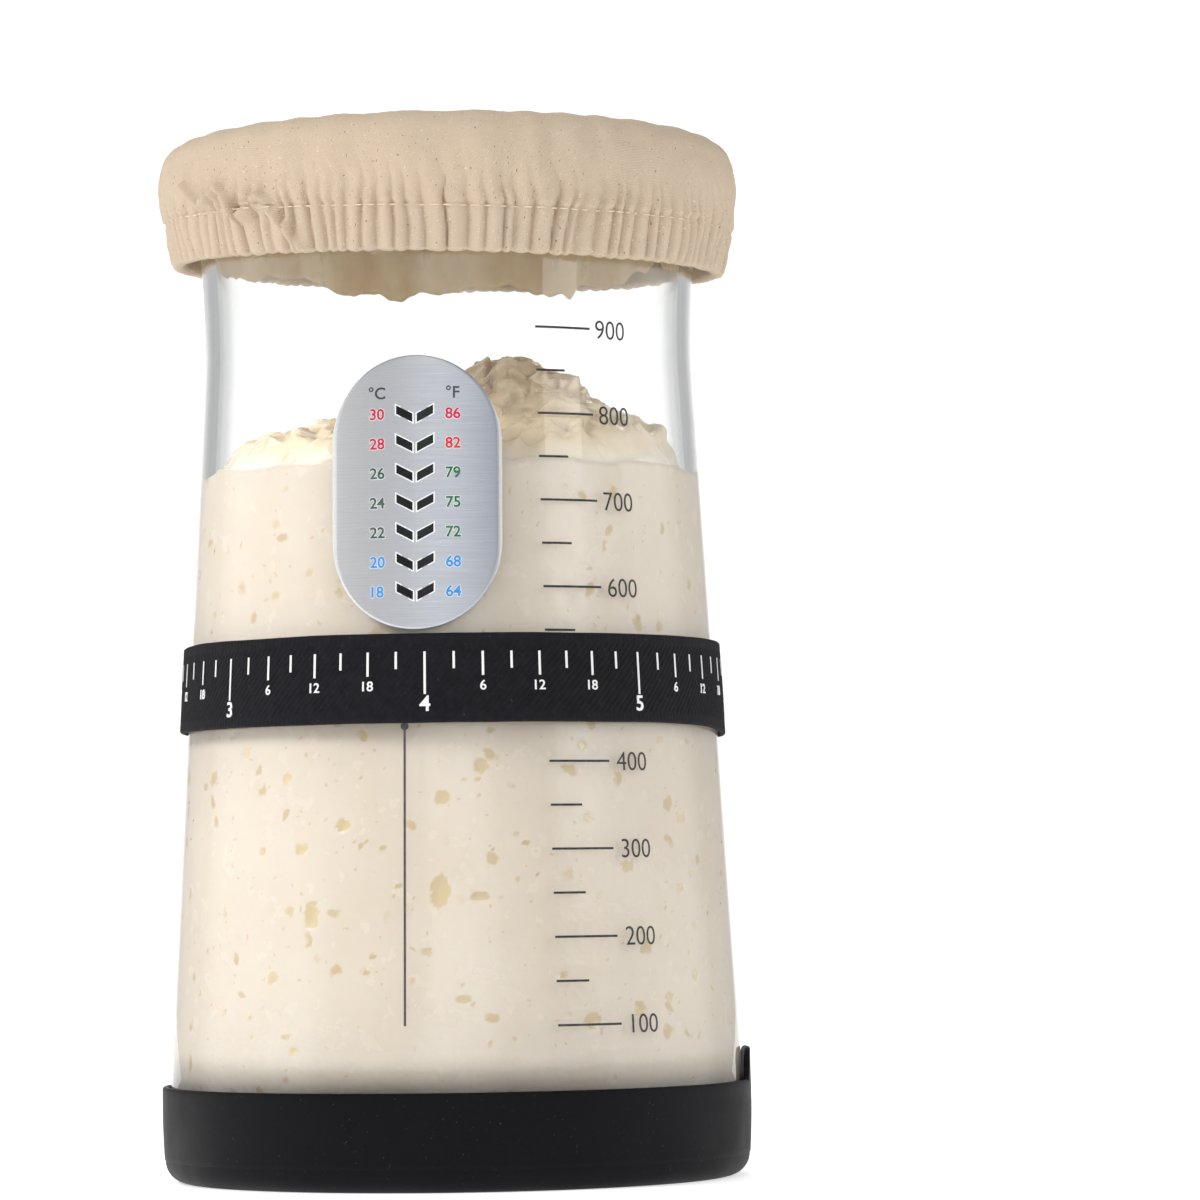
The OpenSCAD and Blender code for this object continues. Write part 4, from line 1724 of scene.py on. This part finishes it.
@dataclass(frozen=True)
class ClothCover:
    """The gathered cotton cover with its casing, pleats and stitches."""

    top_z: float = 188.4
    thick: float = 0.6
    drum_r: float = 52.56
    drum_z: float = 182.9
    edge_r: float = 5.5
    hem_r: float = 49.76
    flap_r: float = 47.86
    flap_h: float = 6.6
    hem_mid: float = 166.15
    casing_h: float = 7.5
    tilt: float = 2.73
    tilt_azimuth: float = 30.0
    cut_d: float = 160.0
    uv_span: float = 200.0
    around: int = 900
    seed: int = 21
    pleat: Flat = (1.7, 4.6)
    wide_fold: Flat = (7.0, 15.0)
    fold: tuple[Flat, ...] = ((-63, 178.5), (-56, 174.0), (-50, 177.0), (-45, 171.5),
                              (-39, 174.5), (-34, 170.0), (-30, 166.0))
    fold_h: float = 1.9
    fold_w: float = 0.8
    degree: float = 0.87
    crumple: float = 0.5
    seam: float = 0.93
    seam_lift: float = 0.06
    skirt_steps: int = 25
    edge_s: float = 0.96
    skirt_s: float = 0.36
    casing_s: float = 0.5
    skirt_from: float = 8.6
    casing_from: float = 17.6
    back_from: float = 25.0
    hem_from: float = 25.5
    flap_from: float = 26.5
    flap_end: float = 33.0
    thread: Ink = Ink("thread_cream", (0.74, 0.62, 0.46), 0.8)
    stitches: Stitching = Stitching(2.6, 1.9, 0.30)

    @property
    def flat_r(self) -> float:
        """Return the radius of the flat top."""
        return self.drum_r - self.edge_r

    def tilted(self, r: float, azimuth: float, height: float) -> Point:
        """Give a point that leans with the hem.

        Args:
            r: radius.
            azimuth: degrees from the front.
            height: height above the hem's middle.

        Returns:
            The point.
        """
        x, y, _ = at(r, azimuth, 0.0)
        angle, lean = math.radians(self.tilt), math.radians(self.tilt_azimuth)
        low = (math.sin(lean), -math.cos(lean))
        along = x * low[0] + y * low[1]
        turned = along * math.cos(angle) + height * math.sin(angle)
        z = height * math.cos(angle) - along * math.sin(angle)
        shift = turned - along
        return (x + low[0] * shift, y + low[1] * shift, self.hem_mid + z)

    def lines(self) -> list[Line]:
        """Draw the pleats and folds by chance, from the fixed seed.

        Returns:
            The cloth's lines, one for each azimuth.
        """
        dice = np.random.default_rng(self.seed)
        marks = [0.0]
        while marks[-1] < 356.0:
            marks.append(marks[-1] + float(dice.uniform(*self.pleat)))
        marks[-1] = FULL_TURN
        powers = dice.uniform(0.35, 1.0, len(marks))
        powers[-1] = powers[0]
        turn = evenly(self.around)
        phase = np.interp(turn, marks, np.arange(len(marks)))
        wide = [0.0]
        while wide[-1] < 350.0:
            wide.append(wide[-1] + float(dice.uniform(*self.wide_fold)))
        wide[-1] = FULL_TURN
        soft = 0.5 - 0.5 * np.cos(2 * np.pi * np.interp(turn, wide, np.arange(len(wide))))
        crest, power = np.abs(np.sin(np.pi * phase)) ** 0.62, np.interp(turn, marks, powers)
        return [Line(k, float(a), crest[k], power[k], soft[k], crest, power)
                for k, a in enumerate(turn)]

    def ridge(self, azimuth: float, z: float) -> float:
        """Give the raised squiggly fold's height at a point.

        Args:
            azimuth: degrees from the front.
            z: height above the table.

        Returns:
            The height.
        """
        aside = apart(azimuth, 0.0)
        if not self.fold[0][0] - 3 < aside < self.fold[-1][0] + 3:
            return 0.0
        nearest = 99.0
        for (a, p), (b, q) in zip(self.fold, self.fold[1:]):
            across, up = (b - a) * self.degree, q - p
            x, y = (aside - a) * self.degree, z - p
            share = (x * across + y * up) / (across * across + up * up)
            share = min(1.0, max(0.0, share))
            nearest = min(nearest, math.hypot(x - share * across, y - share * up))
        return self.fold_h * bell(nearest, self.fold_w)

    def top(self, line: Line, r: float, inset: float = 0.0) -> Point:
        """Give a point of the flat top or its underside.

        Args:
            line: line of the cloth.
            r: distance from the middle.
            inset: distance below the outer face.

        Returns:
            The point.
        """
        x, y, _ = at(r, line.azimuth, 0.0)
        rim = smooth(r, 20.0, self.flat_r)
        dent = 0.35 * abs(rough(x * 0.05, y * 0.05, 3.0, 3)) + 0.5 * (1 - rim) ** 2
        pucker = 0.30 * rim * (1.0 - line.soft) + 0.06 * rim * (1.0 - line.crest) * rim ** 6
        return (x, y, self.top_z - inset - dent - pucker)

    def drum(self, line: Line, turn_by: float, inset: float = 0.0) -> Point:
        """Give a point of the rounded upper edge.

        Args:
            line: line of the cloth.
            turn_by: degrees that the edge has turned from flat.
            inset: distance below the outer face.

        Returns:
            The point.
        """
        angle = math.radians(turn_by)
        fall = 1.0 - turn_by / 90.0
        z = self.drum_z + (self.edge_r - inset) * math.cos(angle)
        z -= fall * (0.30 * (1.0 - line.soft) + 0.06 * (1.0 - line.crest)) + 0.06 * fall
        push = (1 - fall) * (0.55 * line.soft + 0.10 * line.crest * line.power - 0.35)
        r = self.flat_r + (self.edge_r - inset) * math.sin(angle) + push
        return at(r, line.azimuth, z)

    def skirt(self, line: Line, down: float, inset: float = 0.0) -> Point:
        """Give a point between the drum's edge and the casing.

        Args:
            line: line of the cloth.
            down: share of the way down.
            inset: distance below the outer face.

        Returns:
            The point.
        """
        crest, strong = line.bent(down)
        low = Vector(self.tilted(self.hem_r - inset, line.azimuth, self.casing_h))
        high = Vector(at(self.drum_r - inset, line.azimuth, self.drum_z))
        middle = high.lerp(low, down)
        push = 0.8 * math.sin(math.pi * down ** 0.8) + 1.3 * down
        push = push + 0.55 * line.soft * (1 - 0.5 * down) - 0.35 * (1 - down)
        push += (0.10 + 1.85 * down ** 2.2) * crest * strong
        push += self.crumple * ring_rough(line.azimuth, 9, middle.z * 0.12) * (0.4 + 0.6 * down)
        push += self.ridge(line.azimuth, middle.z)
        return tuple(middle + Vector((middle.x, middle.y, 0.0)).normalized() * push)

    def casing(self, line: Line, height: float, r: float, swell: float = 0.0) -> Point:
        """Give a point of the casing round the elastic.

        Args:
            line: line of the cloth.
            height: height above the hem's middle.
            r: radius without folds.
            swell: how much of the folds shows.

        Returns:
            The point.
        """
        share = height / self.casing_h
        crest, strong = line.bent(1.0 + 0.4 * (1.0 - share))
        push = 1.3 * share + (1.25 + 0.7 * share) * crest * strong
        push -= 0.4 * bell(share - 0.97, 0.06) * crest
        push += self.crumple * ring_rough(line.azimuth, 9, (self.hem_mid + height) * 0.12)
        push += self.ridge(line.azimuth, self.hem_mid + height)
        lift = -0.6 * crest * strong * (1.0 - share) ** 2
        return self.tilted(r + swell * max(0.0, push), line.azimuth, height + lift)

    def cloth(self, lines: Sequence[Line]) -> RenderObject:
        """Build the cloth as one skin, over the top, round the casing and back inside.

        Args:
            lines: the cloth's lines.

        Returns:
            The object.
        """
        rings: list[list[Point]] = []
        spread: list[float] = []
        pleat_shades: list[list[float]] = []

        def add(s: float, shape: Callable[..., Point], weight: float = 0.0, lean: float = 1.0,
                **sizes: float) -> None:
            """Add a ring of the cloth.

            Args:
                s: distance from the cloth's middle, along the cloth.
                shape: method that gives the ring's points.
                weight: how strong the painted shade in its pleat valleys is.
                lean: share down the skirt at which the pleats are read.
                sizes: the method's own values.
            """
            # Painted shade of the pleat valleys, read where the pleats lean.
            found = [line.bent(lean) for line in lines]
            pleat_shades.append([1.0 - weight * (1.0 - high) * (0.4 + 0.6 * strong)
                            for high, strong in found])
            rings.append([shape(line, **sizes) for line in lines])
            spread.append(s)

        steps, folds = self.skirt_steps, 15
        skirt_at = self.flat_r + self.skirt_from
        # Flat top and rounded edge.
        for r in map(float, np.linspace(0.0, self.flat_r, 13)):
            add(r, self.top, r=r)
        for i in range(1, 10):
            add(self.flat_r + self.edge_s * i, self.drum, turn_by=i * 10.0)
        # Skirt and casing, with their pleats.
        for i in range(1, steps):
            add(skirt_at + self.skirt_s * i, self.skirt, (i / steps) ** 2.6, i / steps,
                down=i / steps)
        for i in range(folds + 1):
            add(self.flat_r + self.casing_from + self.casing_s * i, self.casing, 1.0,
                1.0 + 0.4 * i / folds, height=self.casing_h * (1 - i / folds), r=self.hem_r,
                swell=1.0)
        # Turn of the hem, then the flap up behind the elastic and back down.
        for i, (inset, height, swell) in enumerate(((0.25, -0.35, 0.9), (0.9, -0.5, 0.6),
                                                    (1.5, -0.3, 0.25))):
            add(self.flat_r + self.hem_from + 0.3 * i, self.casing, height=height,
                r=self.hem_r - inset, swell=swell)
        for height in (0.3, 3.5, self.flap_h):
            add(self.flat_r + self.flap_from + height, self.casing, height=height, r=self.flap_r)
        for height in (self.flap_h, 3.5, 0.65):
            add(self.flat_r + self.flap_end, self.casing, height=height,
                r=self.flap_r + self.thick)
        # Inside of the casing, the skirt and the top.
        for height in (0.65, 3.5, 7.0):
            add(self.flat_r + self.back_from - height, self.casing, height=height,
                r=self.hem_r - self.thick, swell=0.9)
        for i in (21, 15, 9, 3):
            add(skirt_at + self.skirt_s * i, self.skirt, down=i / steps, inset=self.thick)
        for turn_by in (90.0, 60.0, 30.0):
            add(self.flat_r + turn_by / 10, self.drum, turn_by=turn_by, inset=self.thick)
        for r in (self.flat_r, 30.0, 10.0, 0.0):
            add(r, self.top, r=r, inset=self.thick)
        for row in (0, -1):
            rings[row] = [tuple(np.mean(np.array(rings[row]), axis=0))] * self.around
        angle = np.radians(evenly(self.around))
        flat = np.empty((len(rings), self.around, 2))
        flat[:, :, 0] = 0.5 + np.outer(spread, np.sin(angle)) / self.uv_span
        flat[:, :, 1] = 0.5 - np.outer(spread, np.cos(angle)) / self.uv_span
        return skin("cover_cotton", np.array(rings), flat=flat, crease=np.array(pleat_shades))

    def build(self, finish: Cotton, band: Elastic) -> None:
        """Build and dress the cover.

        Args:
            finish: the cotton's finish.
            band: the elastic's finish.
        """
        lines = self.lines()
        cover = self.cloth(lines)
        dress(cover, Body.COVER, finish.make(), ["cover_cloth"])
        path = [self.casing(line, self.casing_h * self.seam, self.hem_r + self.seam_lift, 1.0)
                for line in lines + lines[:1]]
        thread = self.thread.make()
        stitches = self.stitches.sew("cover_stitches", [path], thread)
        dress(stitches, Body.COVER, thread)
        paint("cover_elastic", band.make())


@dataclass(frozen=True)
class Lamp:
    """A softbox, in metres and watts."""

    name: str
    spot: Point
    size: Flat
    power: float
    aim: Point = (0.0, 0.0, 0.1)

    def build(self) -> None:
        """Add the light to the scene."""
        data = bpy.data.lights.new(self.name, "AREA")
        data.shape, data.energy = "RECTANGLE", self.power
        data.size, data.size_y = self.size
        lamp = link(self.name, data)
        lamp.location = self.spot
        facing = Vector(self.aim) - Vector(self.spot)
        lamp.rotation_euler = facing.to_track_quat("-Z", "Y").to_euler()
        lamp.visible_glossy = False


@dataclass(frozen=True)
class Studio:
    """Camera, lights and white surroundings, in metres."""

    eye: Point = (0.0, -0.938, 0.051)
    pitch: float = 3.285
    yaw: float = 1.66
    roll: float = -0.78
    lens: float = 153.9
    sensor: float = 36.0
    near: float = 0.01
    exposure: float = 0.25
    reach: float = 3.0
    flag: float = 0.42
    ambient: float = 0.55
    glow: float = 0.5
    lamps: tuple[Lamp, ...] = (
        Lamp("key", (-0.75, -0.45, 0.70), (0.3, 0.3), 4.6),
        Lamp("fill", (0.7, -0.5, 0.4), (0.3, 0.6), 1.3),
        Lamp("back", (0.0, 0.7, 0.7), (0.9, 0.4), 1.6),
    )

    def camera(self) -> None:
        """Add the camera at the photograph's place and angle."""
        scene = bpy.context.scene
        data = bpy.data.cameras.new("camera")
        data.lens, data.sensor_width, data.clip_start = self.lens, self.sensor, self.near
        camera = link("camera", data)
        camera.location = self.eye
        yaw, pitch = math.radians(self.yaw), math.radians(self.pitch)
        forward = Vector((math.sin(yaw) * math.cos(pitch), math.cos(yaw) * math.cos(pitch),
                          math.sin(pitch)))
        aim = forward.to_track_quat("-Z", "Y").to_matrix()
        turn = math.radians(self.roll)
        spin = Matrix(((math.cos(turn), -math.sin(turn), 0.0),
                       (math.sin(turn), math.cos(turn), 0.0), (0.0, 0.0, 1.0)))
        camera.rotation_euler = (aim @ spin).to_euler()
        scene.camera = camera
        scene.view_settings.view_transform = "Standard"
        scene.view_settings.exposure = self.exposure

    def floor(self) -> None:
        """Add the white floor, which isn't part of the jar."""
        r = self.reach
        mesh = bpy.data.meshes.new("floor")
        corners = [(-r, -r, 0.0), (r, -r, 0.0), (r, r, 0.0), (-r, r, 0.0)]
        mesh.from_pydata(corners, [], [(0, 1, 2, 3)])
        floor = link("floor", mesh)
        g = Graph("paper_white")
        tone = g.steps(g.grain(3.0, g.place(), 2.0), (0.0, 0.95), (1.0, 0.97))
        paper = g.finish(Base_Color=tone, Roughness=0.8, Specular_IOR_Level=0.2,
                         Emission_Color=(1.0, 1.0, 1.0), Emission_Strength=self.glow)
        mesh.materials.append(paper)

    def sky(self) -> bpy.types.World:
        """Make the white surroundings, with soft grey flags behind the sides.

        Returns:
            The world.
        """
        world = bpy.data.worlds.new("white")
        world.use_nodes = True
        tree = world.node_tree
        away, axes, side, flags, path, camera, shown = (
            tree.nodes.new("ShaderNode" + kind) for kind in (
                "TexCoord", "SeparateXYZ", "Math", "ValToRGB", "LightPath", "Math", "Math"))
        side.operation, camera.operation, shown.operation = "ABSOLUTE", "MAXIMUM", "MULTIPLY_ADD"
        shown.inputs[1].default_value = self.ambient - 1.0
        shown.inputs[2].default_value = 1.0
        stops = ((0.20, 1.0), (0.34, self.flag), (0.78, self.flag), (0.92, 1.0))
        while len(flags.color_ramp.elements) < len(stops):
            flags.color_ramp.elements.new(1.0)
        for element, (position, level) in zip(flags.color_ramp.elements, stops):
            element.position, element.color = position, (level, level, level, 1.0)
        back = tree.nodes["Background"]
        for source, result, target, entry in (
                (away, "Generated", axes, 0), (axes, "X", side, 0), (side, 0, flags, 0),
                (flags, "Color", camera, 0), (path, "Is Camera Ray", camera, 1),
                (path, "Is Diffuse Ray", shown, 0), (camera, 0, back, "Color"),
                (shown, 0, back, "Strength")):
            tree.links.new(source.outputs[result], target.inputs[entry])
        return world

    def build(self) -> None:
        """Build the camera, the surroundings, the lights and the floor."""
        self.camera()
        bpy.context.scene.world = self.sky()
        for lamp in self.lamps:
            lamp.build()
        self.floor()


def main() -> None:
    """Build every sub-assembly in order."""
    logging.basicConfig(level=logging.INFO, format="%(name)s %(message)s")
    Studio().build()
    SiliconeBase().build(Silicone())
    GLASS.build(ClearGlass())
    DoughMass().build(Starter(), DriedFilm())
    PrintedMarks().build(Ink("ink_dark", (0.012, 0.012, 0.014)),
                         Ink("ink_grey", (0.045, 0.045, 0.05)))
    Thermometer().build(BrushedStrip(), CrystalCell(), Ink("adhesive_milky", (0.72, 0.72, 0.70)))
    FeedingBand().build(Webbing(), Ink("ink_white", (0.86, 0.86, 0.86)))
    ClothCover().build(Cotton(), Elastic())


if __name__ == "__main__":
    main()
